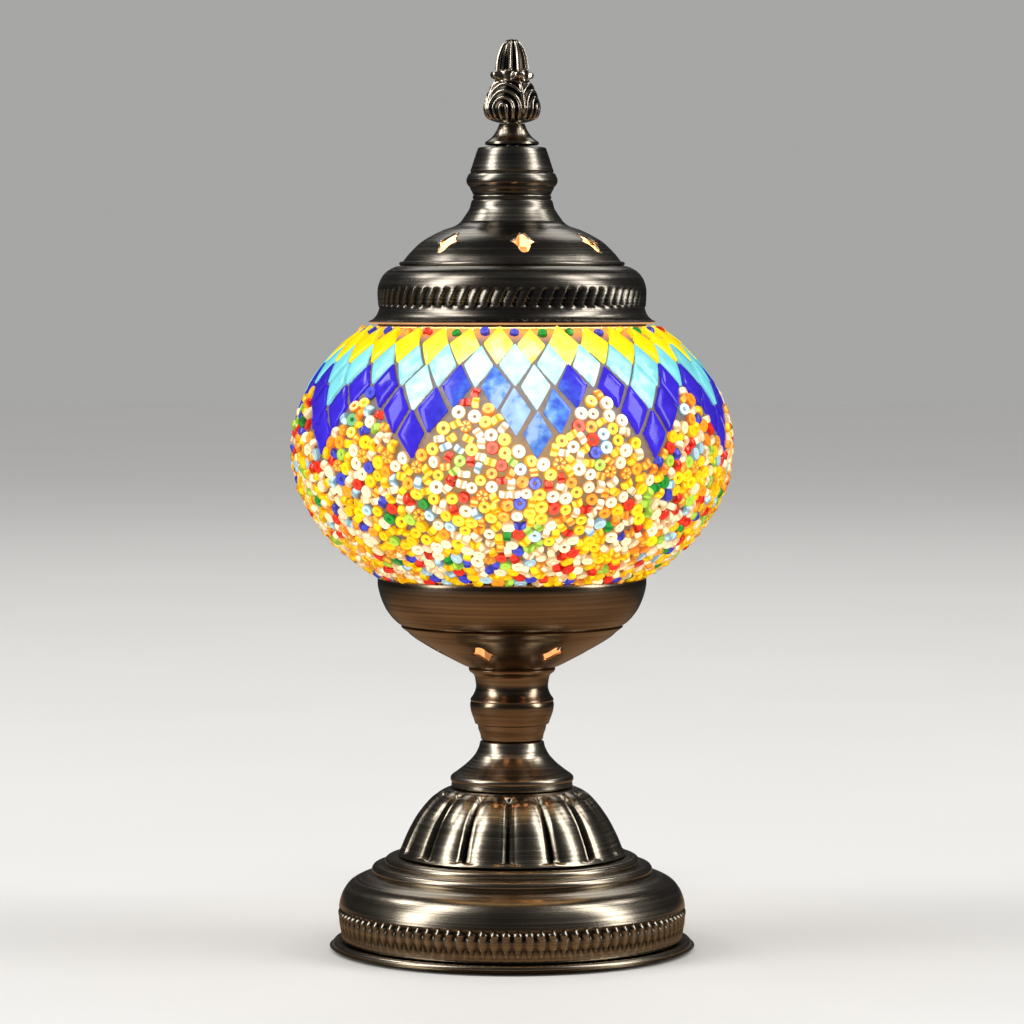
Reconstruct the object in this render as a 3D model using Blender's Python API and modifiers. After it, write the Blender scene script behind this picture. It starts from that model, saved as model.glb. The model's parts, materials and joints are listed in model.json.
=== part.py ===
"""Mosaic glass table lamp, modelled as the pieces that come apart on a bench.

The origin is on the lamp's axis, at the underside of its felt pad. +Z is up and the cord leaves towards +Y,
the lamp's rear. Sizes and places are in millimetres, and MM turns them into Blender's metres. A turned
piece's outline is a list of (radius, height) that runs down its outer side.
"""

import math

import bmesh
import bpy
from mathutils import Matrix

MM = 0.001
GAP = 0.3  # left between neighbouring solids

# Seams up the axis
PLATE_TOP = 2.6
BOWL_TOP = 27.7
FLUTES_TOP = 48.0
COLLAR_TOP = 62.0
STEM_TOP = 83.9
CUP_FLOOR = 84.2
CUP_RIM = 110.9
CAP_RIM = 186.0
DOME_TOP = 223.9
BARREL_TOP = 237.9
CONE_TOP = 244.8
TIP = 270.0

# Globe: an ellipsoid of revolution, with the mosaic glued to its outside
GLOBE_CENTRE = 149.5
GLASS_RADIUS = 62.4
GLASS_HALF_HEIGHT = 45.6
GLASS_WALL = 2.4
GLASS_TOP_LATITUDE = 50.6
GLASS_FOOT_LATITUDE = -54.2
ADHESIVE = 1.2  # the bed between the glass and the mosaic
MOSAIC_THICKNESS = 1.7
MOSAIC_TOP_LATITUDE = 47.5
AQUA_TOP_LATITUDE = 36.6
BLUE_TOP_LATITUDE = 28.8
NOTCH_LATITUDE = 21.0  # where the beads reach up between two blue points
POINT_LATITUDE = 1.0  # where a blue point ends
BEAD_FOOT_LATITUDE = -51.0
SEAM_LATITUDE = 0.35  # half the gap between two bands, as an angle
BLUE_POINTS = 11
FRONT_POINT = 6.5  # angle of one blue point from the front, towards +X

# Spun sheet metal
SHEET = 0.8
SHELL_STEPS = 20
STEM_STEPS = 14
FLUTES = 15
FLUTE_DEPTH = 1.5
FRONT_VALLEY = -2.35
VENTS = 7
VENT_LENGTH = 10.0
VENT_WIDTH = 6.4
VENT_WAIST = 2.1

# Central rod and its fasteners
ROD_RADIUS = 4.9
ROD_BORE = 3.4
ROD_FOOT = 14.5
ROD_TOP = 106.5
ROD_HOLE = 5.3
NUT_ACROSS_CORNERS = 16.2
NUT_HEIGHT = 3.2
WASHER_RADIUS = 9.0
WASHER_HEIGHT = 1.0

# Harp and stud, which carry the cap
HARP_HALF_WIDTH = 28.0
HARP_FOOT = 96.4
HARP_TOP = 205.6
HARP_THICKNESS = 1.6
HARP_WIDTH = 14.0
STUD_RADIUS = 2.45
STUD_HOLE = 2.8
STUD_FOOT = 199.5
STUD_TOP = 251.6

# Lamp holder and bulb (candelabra screw)
HOLDER_FOOT = 98.4
HOLDER_TOP = 136.0
HOLDER_RADIUS = 13.0
SHELL_BORE = 6.4
CAP_RADIUS = 5.9
CORE_FOOT = 110.0
CORE_TOP = 118.0
BULB_FOOT = 119.9
BULB_TOP = 177.0
BULB_RADIUS = 13.0

# Cord, in-line switch and plug, which lie behind the lamp
CORD_RADIUS = 2.2
CORD_EXIT = 8.2
COIL_CENTRE = 112.0
COIL_RADIUS = 43.6
COIL_PITCH = 5.0
COIL_TURNS = 4.472
COIL_START = -10.0
COIL_STEPS = 12
BED = 4.9  # the switch and the plug lie on the coil, at this height
SWITCH_CENTRE = 86.0
SWITCH_LENGTH = 48.0
SWITCH_WIDTH = 21.0
SWITCH_HALF_HEIGHT = 7.4
SWITCH_WALL = 1.6
ROCKER_LENGTH = 14.8
ROCKER_WIDTH = 8.6
ROCKER_TILT = 8.0
PLUG_CENTRE = 139.0
PLUG_LENGTH = 26.0
PLUG_WIDTH = 22.0
PLUG_HEIGHT = 15.0
PLUG_START = -12.0
BLADE_SPACING = 12.7

# Base colour, roughness and metallic value of each material
FINISHES = {
    "antique_bronze": ((0.10, 0.075, 0.05), 0.28, 1.0),
    "cast_bronze": ((0.16, 0.12, 0.085), 0.35, 1.0),
    "zinc_steel": ((0.55, 0.54, 0.50), 0.35, 1.0),
    "cast_iron": ((0.12, 0.12, 0.12), 0.7, 1.0),
    "brass": ((0.72, 0.53, 0.24), 0.3, 1.0),
    "clear_glass": ((0.92, 0.90, 0.84), 0.15, 0.0),
    "yellow_glass": ((0.98, 0.80, 0.10), 0.12, 0.0),
    "aqua_glass": ((0.45, 0.85, 0.86), 0.12, 0.0),
    "blue_glass": ((0.09, 0.08, 0.62), 0.12, 0.0),
    "bead_glass": ((0.95, 0.75, 0.30), 0.12, 0.0),
    "rubber": ((0.03, 0.03, 0.03), 0.8, 0.0),
    "felt": ((0.02, 0.025, 0.02), 1.0, 0.0),
    "phenolic": ((0.02, 0.02, 0.02), 0.35, 0.0),
    "ceramic": ((0.86, 0.84, 0.78), 0.4, 0.0),
    "black_plastic": ((0.018, 0.018, 0.02), 0.4, 0.0),
}


# ---- Scene and materials ----


def fresh_collection(name):
    collection = bpy.data.collections.new(name)
    bpy.context.scene.collection.children.link(collection)
    return collection


def clear_scene():
    for obj in list(bpy.data.objects):
        bpy.data.objects.remove(obj)


clear_scene()
LAMP = fresh_collection("mosaic_table_lamp")
CUTTERS = fresh_collection("cutters")


def finish_of(name):
    """The named material, made the first time it is asked for."""
    material = bpy.data.materials.get(name)
    if material:
        return material
    colour, roughness, metallic = FINISHES[name]
    material = bpy.data.materials.new(name)
    material.use_nodes = True
    surface = material.node_tree.nodes["Principled BSDF"]
    surface.inputs["Base Color"].default_value = (*colour, 1.0)
    surface.inputs["Roughness"].default_value = roughness
    surface.inputs["Metallic"].default_value = metallic
    return material


def add(name, data, finish=None):
    """A named object in the lamp's collection, or a cutter where it has no finish."""
    obj = bpy.data.objects.new(name, data)
    if finish:
        LAMP.objects.link(obj)
        data.materials.append(finish_of(finish))
    else:
        CUTTERS.objects.link(obj)
        obj.hide_render = True
        obj.display_type = "WIRE"
    return obj


# ---- Shapes ----


def flowing(points, per_span):
    """Points along a smooth curve through the given ones (Catmull-Rom)."""
    ends = [points[0], *points, points[-1]]
    found = []
    for before, a, b, after in zip(ends, ends[1:], ends[2:], ends[3:]):
        for step in range(per_span):
            t = step / per_span
            found.append(
                tuple(
                    q + 0.5 * (s - p) * t
                    + 0.5 * (2 * p - 5 * q + 4 * s - u) * t**2
                    + 0.5 * (3 * q - p - 3 * s + u) * t**3
                    for p, q, s, u in zip(before, a, b, after)
                )
            )
    return [*found, tuple(points[-1])]


def turned(name, outline, finish, steps=SHELL_STEPS, wall=None, section=True):
    """A turned piece. With a wall it is a shell of that thickness inside the outline. Without one, an outline
    that starts off the axis is the closed section of a ring, unless section is False, which leaves a bare
    surface."""
    count = len(outline)
    edges = [(i, i + 1) for i in range(count - 1)]
    if section and wall is None and outline[-1][0] > 0:
        edges.append((count - 1, 0))
    mesh = bpy.data.meshes.new(name)
    mesh.from_pydata([(r * MM, 0, z * MM) for r, z in outline], edges, [])
    obj = add(name, mesh, finish)
    screw = obj.modifiers.new("turn", "SCREW")
    screw.steps = screw.render_steps = steps
    screw.use_merge_vertices = True
    screw.merge_threshold = 1e-5
    if wall:
        thicken(obj, wall)
    return obj


def thicken(obj, wall, outwards=False):
    solidify = obj.modifiers.new("wall", "SOLIDIFY")
    solidify.thickness = wall * MM
    solidify.offset = 1 if outwards else -1
    solidify.use_even_offset = True


def realise(obj):
    """Turns a curve, or a mesh with modifiers, into a plain mesh in the same place."""
    bpy.context.view_layer.update()
    graph = bpy.context.evaluated_depsgraph_get()
    mesh = bpy.data.meshes.new_from_object(obj.evaluated_get(graph))
    welder = bmesh.new()
    welder.from_mesh(mesh)
    bmesh.ops.remove_doubles(welder, verts=welder.verts, dist=1e-6)
    welder.to_mesh(mesh)
    welder.free()
    name = obj.name
    home = obj.users_collection[0]
    made = bpy.data.objects.new(name, mesh)
    made.matrix_world = obj.matrix_world
    bpy.data.objects.remove(obj)
    home.objects.link(made)
    made.name = name
    return made


def circle(radius, count, centre=(0, 0)):
    turn = 2 * math.pi / count
    x, y = centre
    return [(x + radius * math.cos(i * turn), y + radius * math.sin(i * turn)) for i in range(count)]


def plate(name, outlines, finish, thickness, place=Matrix.Identity(4)):
    """A flat plate. The first outline is its edge, the others are holes, and place puts its mid-plane."""
    curve = bpy.data.curves.new(name, "CURVE")
    curve.dimensions = "2D"
    curve.fill_mode = "BOTH"
    curve.extrude = thickness / 2 * MM
    for outline in outlines:
        spline = curve.splines.new("POLY")
        spline.points.add(len(outline) - 1)
        for point, (x, y) in zip(spline.points, outline):
            point.co = (x * MM, y * MM, 0, 1)
        spline.use_cyclic_u = True
    obj = add(name, curve, finish)
    obj.matrix_world = place
    return obj


def at(x=0.0, y=0.0, z=0.0):
    return Matrix.Translation((x * MM, y * MM, z * MM))


def disc(name, finish, radius, foot, height, hole=None, corners=24):
    outlines = [circle(radius, corners)]
    if hole:
        outlines.append(circle(hole, 12))
    return plate(name, outlines, finish, height, at(z=foot + height / 2))


def nut(name, foot, across=NUT_ACROSS_CORNERS, hole=ROD_HOLE, height=NUT_HEIGHT):
    return disc(name, "zinc_steel", across / 2, foot, height, hole, corners=6)


def wire(name, points, radius, finish):
    """A round wire or cord through the points, with flat ends."""
    curve = bpy.data.curves.new(name, "CURVE")
    curve.dimensions = "3D"
    curve.bevel_depth = radius * MM
    curve.bevel_resolution = 2
    curve.use_fill_caps = True
    spline = curve.splines.new("POLY")
    spline.points.add(len(points) - 1)
    for point, place in zip(spline.points, points):
        point.co = (*(x * MM for x in place), 1)
    return add(name, curve, finish)


def block(name, finish, size, centre, bevel=0.0):
    """A box, with rounded edges where it has a bevel."""
    mesh = bpy.data.meshes.new(name)
    cube = bmesh.new()
    bmesh.ops.create_cube(cube, size=1, matrix=Matrix.Diagonal((*(side * MM for side in size), 1)))
    cube.to_mesh(mesh)
    cube.free()
    obj = add(name, mesh, finish)
    obj.matrix_world = at(*centre)
    if bevel:
        rounding = obj.modifiers.new("rounding", "BEVEL")
        rounding.width = bevel * MM
        rounding.segments = 2
    return obj


def peg(name, finish, radius, length, place, sides=16):
    """A cylinder centred on place, along place's Z axis."""
    mesh = bpy.data.meshes.new(name)
    cone = bmesh.new()
    bmesh.ops.create_cone(
        cone, cap_ends=True, segments=sides, radius1=radius * MM, radius2=radius * MM, depth=length * MM
    )
    cone.to_mesh(mesh)
    cone.free()
    obj = add(name, mesh, finish)
    obj.matrix_world = place
    return obj


def cut(obj, cutter):
    difference = obj.modifiers.new(cutter.name, "BOOLEAN")
    difference.operation = "DIFFERENCE"
    difference.object = cutter


def vent_cutter(name, radius, height, lean, first):
    """Seven four-pointed stars on a ring. Lean is the angle of their axis above the horizontal, and first is
    the angle of one of them from the front, towards +X."""
    stars = bmesh.new()
    for i in range(VENTS):
        made = bmesh.ops.create_cone(stars, cap_ends=True, segments=8, radius1=MM, radius2=MM, depth=6 * MM)
        for vert in made["verts"]:
            # The cone's corners are each 45 degrees, so a diagonal corner is a waist of the star
            diagonal = abs(vert.co.x) > 0.1 * MM and abs(vert.co.y) > 0.1 * MM
            if diagonal:
                vert.co.x *= VENT_WAIST
                vert.co.y *= VENT_WAIST * VENT_WIDTH / VENT_LENGTH * 1.25
            else:
                vert.co.x *= VENT_LENGTH / 2
                vert.co.y *= VENT_WIDTH / 2
        around = math.radians(first - 90 + i * 360 / VENTS)
        turn = Matrix.Rotation(around, 4, "Z") @ at(x=radius, z=height) @ Matrix.Rotation(
            math.radians(90 - lean), 4, "Y"
        )
        bmesh.ops.transform(stars, matrix=turn, verts=made["verts"])
    mesh = bpy.data.meshes.new(name)
    stars.to_mesh(mesh)
    stars.free()
    return add(name, mesh)


def on_globe(latitude, proud):
    """(radius, height) of a point on the globe's outside, moved out by proud."""
    angle = math.radians(latitude)
    return (
        (GLASS_RADIUS + proud) * math.cos(angle),
        GLOBE_CENTRE + (GLASS_HALF_HEIGHT + proud) * math.sin(angle),
    )


def arc_of_globe(top, foot, proud, spans):
    return [on_globe(top + (foot - top) * i / spans, proud) for i in range(spans + 1)]


# ---- Globe ----


def point_edge(angle):
    """Latitude of the zigzag edge under the blue tiles, at an angle from the front."""
    turn = (math.degrees(angle) - FRONT_POINT) / 360 * BLUE_POINTS
    share = abs(turn - round(turn)) * 2
    return POINT_LATITUDE + (NOTCH_LATITUDE - POINT_LATITUDE) * share


def zigzag_band(name, finish, top, foot, rows):
    """A band of mosaic on the glass between two edges, which are functions of the angle from the front."""
    columns = 4 * BLUE_POINTS
    grid = bmesh.new()
    bmesh.ops.create_grid(grid, x_segments=columns, y_segments=rows, size=1)
    for vert in grid.verts:
        angle = math.radians(FRONT_POINT) + math.pi * (vert.co.x + 1)
        low, high = foot(angle), top(angle)
        radius, height = on_globe(low + (high - low) * (vert.co.y + 1) / 2, ADHESIVE)
        vert.co = (radius * math.sin(angle) * MM, -radius * math.cos(angle) * MM, height * MM)
    bmesh.ops.remove_doubles(grid, verts=grid.verts, dist=1e-6)
    mesh = bpy.data.meshes.new(name)
    grid.to_mesh(mesh)
    grid.free()
    thicken(add(name, mesh, finish), MOSAIC_THICKNESS, outwards=True)


def tile_ring(name, finish, top, foot):
    outer = arc_of_globe(top - SEAM_LATITUDE, foot + SEAM_LATITUDE, ADHESIVE + MOSAIC_THICKNESS, 1)
    inner = arc_of_globe(foot + SEAM_LATITUDE, top - SEAM_LATITUDE, ADHESIVE, 1)
    turned(name, outer + inner, finish, steps=3 * BLUE_POINTS)


def build_globe():
    glass = arc_of_globe(GLASS_TOP_LATITUDE, GLASS_FOOT_LATITUDE, 0, 8)
    turned("globe_glass", glass, "clear_glass", wall=GLASS_WALL)
    tile_ring("yellow_tiles", "yellow_glass", MOSAIC_TOP_LATITUDE, AQUA_TOP_LATITUDE)
    tile_ring("aqua_tiles", "aqua_glass", AQUA_TOP_LATITUDE, BLUE_TOP_LATITUDE)
    zigzag_band(
        "blue_tiles",
        "blue_glass",
        lambda angle: BLUE_TOP_LATITUDE - SEAM_LATITUDE,
        lambda angle: point_edge(angle) + SEAM_LATITUDE,
        2,
    )
    zigzag_band(
        "bead_field",
        "bead_glass",
        lambda angle: point_edge(angle) - SEAM_LATITUDE,
        lambda angle: BEAD_FOOT_LATITUDE,
        6,
    )


# ---- Cap ----


def build_cap():
    bud = [(0, TIP), (1.9, 268.8), (3.5, 265.9), (4.5, 262.4), (4.6, 260.2)]
    leaf_tips = [(6.3, 259.4), (6.4, 258.6), (4.8, 257.3)]
    bulb = flowing([(5.9, 255.4), (8.25, 249.6), (6.6, 245.9), (4.0, CONE_TOP + GAP)], 2)
    bore = [(STUD_HOLE, CONE_TOP + GAP), (STUD_HOLE, 253.0), (0, 253.0)]
    turned("finial", bud + leaf_tips + bulb + bore, "cast_bronze", steps=STEM_STEPS)

    cone = [(3.9, CONE_TOP), (4.7, 243.3), (6.3, 240.8), (7.9, 239.2), (8.0, BARREL_TOP + GAP)]
    cone += [(STUD_HOLE, BARREL_TOP + GAP), (STUD_HOLE, CONE_TOP)]
    turned("finial_cone", cone, "antique_bronze", steps=STEM_STEPS)

    barrel = [(3.2, BARREL_TOP), (9.3, BARREL_TOP), (10.3, 237.1), (11.7, 233.0), (12.8, 229.6)]
    barrel += [(13.5, 228.0), (13.2, 226.6), (12.0, 225.2), (11.6, DOME_TOP + GAP)]
    turned("cap_barrel", barrel, "antique_bronze", steps=STEM_STEPS, wall=SHEET)

    neck = [(3.2, DOME_TOP), (11.3, DOME_TOP), (11.6, 221.4), (13.4, 218.0), (15.2, 215.7), (17.6, 214.3)]
    crown = [(24.0, 211.7), (28.6, 208.3), (32.6, 203.5), (34.2, 202.3)]
    skirt = [(37.8, 199.0), (39.6, 194.6), (39.3, 190.0), (40.2, 188.2), (42.6, CAP_RIM + 0.8)]
    seat = [(41.8, CAP_RIM + GAP), (37.4, CAP_RIM + GAP)]
    dome = turned("cap_dome", neck + crown + skirt + seat, "antique_bronze", wall=SHEET)
    cut(dome, vent_cutter("cap_vents", 25.4, 210.7, 55.0, 6.9))

    turned("cap_gasket", [(39.7, 185.9), (39.7, 185.1), (37.4, 185.1), (37.4, 185.9)], "rubber")


# ---- Cup, stem and base ----


def flute(obj):
    """Presses the flutes into a turned surface: fifteen round lobes with sharp valleys between them."""
    made = realise(obj)
    made.data.transform(made.matrix_world)
    made.matrix_world = Matrix.Identity(4)
    top, foot = 46.5 * MM, 29.5 * MM
    for vert in made.data.vertices:
        radius = math.hypot(vert.co.x, vert.co.y)
        angle = math.degrees(math.atan2(vert.co.x, -vert.co.y))
        turn = (angle - FRONT_VALLEY) / 360 * FLUTES
        lobe = abs(math.sin(math.pi * turn))
        height = (vert.co.z - foot) / (top - foot)
        fade = max(0.0, min(1.0, 4 * height, 4 * (1 - height)))
        scale = 1 - fade * (1 - lobe) * FLUTE_DEPTH * MM / radius
        vert.co.x *= scale
        vert.co.y *= scale
    return made


def build_cup_and_stem():
    wall = [(39.9, 109.6), (39.4, 106.6), (38.0, 102.4), (35.6, 99.0), (32.6, 96.2)]
    floor = [(29.0, 92.9), (23.3, 89.3), (17.9, 86.5), (13.8, CUP_FLOOR), (ROD_HOLE, CUP_FLOOR)]
    cup = turned("cup", [(34.0, CUP_RIM), (38.9, CUP_RIM), *wall, *floor], "antique_bronze", wall=SHEET)
    cut(cup, vent_cutter("cup_vents", 22.9, 89.1, -60.4, -21.1))
    gasket = [(37.6, 112.2), (37.6, CUP_RIM + GAP), (34.4, CUP_RIM + GAP), (34.4, 112.2)]
    turned("globe_gasket", gasket, "rubber")

    neck = [(ROD_HOLE, STEM_TOP), (12.5, STEM_TOP), (12.9, 83.2), (11.2, 80.0), (10.9, 77.6)]
    bulge = [(12.6, 74.2), (12.4, 71.4), (11.3, 68.0), (9.4, COLLAR_TOP + GAP)]
    turned("stem", neck + bulge, "antique_bronze", steps=STEM_STEPS, wall=SHEET)

    collar = [(ROD_HOLE, COLLAR_TOP), (9.2, COLLAR_TOP), (10.6, 58.7), (13.4, 55.1), (18.1, 51.2)]
    collar += [(18.3, 50.0), (18.0, FLUTES_TOP + GAP)]
    turned("collar", collar, "antique_bronze", steps=STEM_STEPS, wall=SHEET)


def build_base():
    outline = [(ROD_HOLE, FLUTES_TOP), (17.3, FLUTES_TOP), (18.6, 47.5), (22.6, 45.6), (26.8, 41.6)]
    outline += [(30.4, 36.2), (32.6, 31.0), (33.9, BOWL_TOP + 2 * GAP)]
    dome = turned("fluted_dome", outline, "antique_bronze", steps=3 * FLUTES, section=False)
    dome.matrix_world = Matrix.Rotation(math.radians(FRONT_VALLEY - 90), 4, "Z")
    thicken(flute(dome), SHEET)

    rings = [(ROD_HOLE, BOWL_TOP), (34.9, BOWL_TOP), (36.8, 27.1), (37.6, 25.6), (38.9, 24.9), (40.9, 24.0)]
    wall = [(41.9, 22.5), (46.4, 20.7), (49.6, 18.0), (51.2, 13.8), (51.8, 9.4), (50.7, PLATE_TOP + GAP)]
    bowl = turned("base_bowl", rings + wall, "antique_bronze", wall=SHEET)
    cord_hole = Matrix.Translation((0, 51.3 * MM, CORD_EXIT * MM)) @ Matrix.Rotation(math.pi / 2, 4, "X")
    cut(bowl, peg("cord_hole", None, 3.7, 6.0, cord_hole))
    spool = [(4.6, 1.9), (4.6, 0.8), (3.4, 0.8), (3.4, -1.9)]
    spool += [(4.4, -1.9), (4.4, -2.7), (2.9, -2.7), (2.9, 1.9)]
    grommet = turned("cord_grommet", spool, "rubber", steps=12)
    grommet.matrix_world = Matrix.Translation((0, 51.5 * MM, CORD_EXIT * MM)) @ Matrix.Rotation(
        math.radians(-90), 4, "X"
    )

    rim = [(52.2, PLATE_TOP), (53.3, 2.8), (54.1, 2.2), (54.3, 1.4), (53.7, 0.7), (52.8, 0.5), (51.9, 0.9)]
    turned("base_plate", [(0, PLATE_TOP), *rim, (51.3, 1.6), (0, 1.6)], "antique_bronze")
    disc("felt_pad", "felt", 47.0, 0.0, 1.3, corners=30)
    disc("base_weight", "cast_iron", 32.0, 20.5, 6.0, ROD_HOLE, corners=20)


# ---- Rod, harp and fasteners ----


def build_rod():
    tube = [(ROD_RADIUS, ROD_TOP), (ROD_RADIUS, ROD_FOOT), (ROD_BORE, ROD_FOOT), (ROD_BORE, ROD_TOP)]
    turned("threaded_rod", tube, "zinc_steel", steps=16)
    disc("base_washer", "zinc_steel", WASHER_RADIUS, 19.2, WASHER_HEIGHT, ROD_HOLE, 16)
    nut("base_nut", 15.7)
    disc("cup_washer", "zinc_steel", WASHER_RADIUS, CUP_FLOOR + SHEET + GAP, WASHER_HEIGHT, ROD_HOLE, 16)
    nut("cup_nut", CUP_FLOOR + SHEET + WASHER_HEIGHT + 2 * GAP)
    nut("harp_nut", HARP_FOOT - GAP - NUT_HEIGHT)


def harp_outline(half_width, foot, top, foot_radius, top_radius):
    """A rectangle with round corners, in (across, up)."""
    corners = [
        (half_width - foot_radius, foot + foot_radius, foot_radius, -90),
        (half_width - top_radius, top - top_radius, top_radius, 0),
        (top_radius - half_width, top - top_radius, top_radius, 90),
        (foot_radius - half_width, foot + foot_radius, foot_radius, 180),
    ]
    found = []
    for x, z, radius, start in corners:
        for step in range(4):
            angle = math.radians(start + 30 * step)
            found.append((x + radius * math.cos(angle), z + radius * math.sin(angle)))
    return found


def build_harp():
    outer = harp_outline(HARP_HALF_WIDTH, HARP_FOOT, HARP_TOP, 5.0, 14.0)
    inner = harp_outline(
        HARP_HALF_WIDTH - HARP_THICKNESS, HARP_FOOT + HARP_THICKNESS, HARP_TOP - HARP_THICKNESS, 3.4, 12.4
    )
    upright = Matrix.Rotation(math.radians(90), 4, "X")
    harp = realise(plate("harp", [outer, inner], "zinc_steel", HARP_WIDTH, upright))
    cut(harp, peg("harp_foot_hole", None, ROD_HOLE, 8.0, at(z=HARP_FOOT), 12))
    cut(harp, peg("harp_top_hole", None, STUD_HOLE, 8.0, at(z=HARP_TOP), 10))

    peg("harp_stud", "zinc_steel", STUD_RADIUS, STUD_TOP - STUD_FOOT, at(z=(STUD_TOP + STUD_FOOT) / 2), 12)
    nut("stud_nut_lower", HARP_TOP - HARP_THICKNESS - GAP - 2.7, 9.2, STUD_HOLE, 2.7)
    nut("stud_nut_upper", HARP_TOP + GAP, 9.2, STUD_HOLE, 2.7)


# ---- Lamp holder and bulb ----


def build_holder():
    cup = [(HOLDER_RADIUS - 0.8, HOLDER_TOP), (HOLDER_RADIUS, HOLDER_TOP - 1), (HOLDER_RADIUS, 101.5)]
    cup += [(10.5, HOLDER_FOOT), (ROD_HOLE, HOLDER_FOOT), (ROD_HOLE, 101.0), (9.4, 102.4)]
    cup += [(9.4, CORE_FOOT - GAP), (10.9, CORE_FOOT - GAP), (10.9, HOLDER_TOP)]
    turned("holder_body", cup, "phenolic", steps=20)
    disc("holder_core", "ceramic", 10.4, CORE_FOOT, CORE_TOP - CORE_FOOT, corners=16)
    shell = [(7.0, 134.5), (SHELL_BORE + 0.5, 133.4), (SHELL_BORE + 0.5, CORE_TOP + GAP)]
    shell += [(SHELL_BORE, CORE_TOP + GAP), (SHELL_BORE, 134.5)]
    turned("screw_shell", shell, "brass", steps=16)
    block("centre_contact", "brass", (3.0, 7.0, 0.5), (0, 0, BULB_FOOT - GAP - 0.25))


def build_bulb():
    envelope = [(0, BULB_TOP), (5.4, 175.8), (9.8, 172.4), (12.4, 167.4), (BULB_RADIUS, 161.5)]
    envelope += [(11.6, 154.5), (8.6, 147.0), (7.0, 141.6)]
    turned("bulb_envelope", envelope, "clear_glass", steps=16, wall=0.7)
    cap = [(7.2, 141.2), (CAP_RADIUS, 138.6), (CAP_RADIUS, 125.4), (5.2, 124.4)]
    turned("bulb_cap", cap, "brass", steps=16, wall=0.4)
    turned("bulb_insulator", [(0, 124.0), (4.6, 124.0), (3.2, 121.5), (0, 121.5)], "phenolic", steps=12)
    turned("bulb_tip", [(0, 121.2), (2.1, 121.2), (1.8, 120.2), (0, BULB_FOOT)], "zinc_steel", steps=12)
    mount = [(0, 154.0), (1.5, 153.4), (1.7, 147.0), (4.2, 141.8), (0, 141.8)]
    turned("bulb_mount", mount, "clear_glass", steps=12)
    legs = [(-1.0, 0, 154.6), (-4.6, 0, 162.0)]
    zigzag = [(-2.4, 0, 165.6), (0, 0, 162.2), (2.4, 0, 165.6)]
    filament = legs + zigzag + [(-x, y, z) for x, y, z in reversed(legs)]
    wire("bulb_filament", filament, 0.3, "zinc_steel")


# ---- Cord, switch and plug ----


def coil():
    """The cord's flat spiral on the floor, clockwise from outside. Its first turn comes down from above."""
    steps = round(COIL_TURNS * COIL_STEPS)
    found = []
    for i in range(steps + 1):
        turns = COIL_TURNS * i / steps
        angle = math.radians(COIL_START - 360 * turns)
        radius = COIL_RADIUS - COIL_PITCH * turns
        lift = 3.2 * max(0.0, 1 - 6 * turns)
        x, y = radius * math.cos(angle), COIL_CENTRE + radius * math.sin(angle)
        found.append((x, y, CORD_RADIUS + 0.1 + lift))
    return found


def build_cord():
    middle = BED + SWITCH_HALF_HEIGHT + GAP / 2
    quarter = [step * math.pi / 6 for step in range(4)]
    bend = [(0, 9 - 9 * math.cos(a), 15.8 - 9 * math.sin(a)) for a in quarter]
    climb = [(0, 40, 6.9), (0, 49, CORD_EXIT - 0.5), (0, 54, CORD_EXIT + 0.5), (0, 60, middle - 0.5)]
    rise = flowing(climb, 2)
    wire("cord_lamp_side", [(0, 0, 109.0), *bend, *rise, (0, 65.5, middle)], CORD_RADIUS, "black_plastic")

    leave = [(0, 106.5, middle), (0, 112, middle), (1.5, 117, 12), (6, 121, 11.2), (14, 123, 10)]
    leave += [(24, 122.6, 8.8), (33, 119.6, 7.8), (40, 113.6, 7.0)]
    join = [(-20.8, 118.5, 4.2), (-21.4, 124.5, 7.4), (-27.5, 129, 8.8), (-33.5, 133.5, 10.4)]
    join += [(-33.4, 139.8, 11.9), (-26.5, 141.2, 12.4), (-18, 139.2, 12.4), (-9.5, PLUG_CENTRE, 12.4)]
    wire("cord_plug_side", leave + coil() + join, CORD_RADIUS, "black_plastic")


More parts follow.
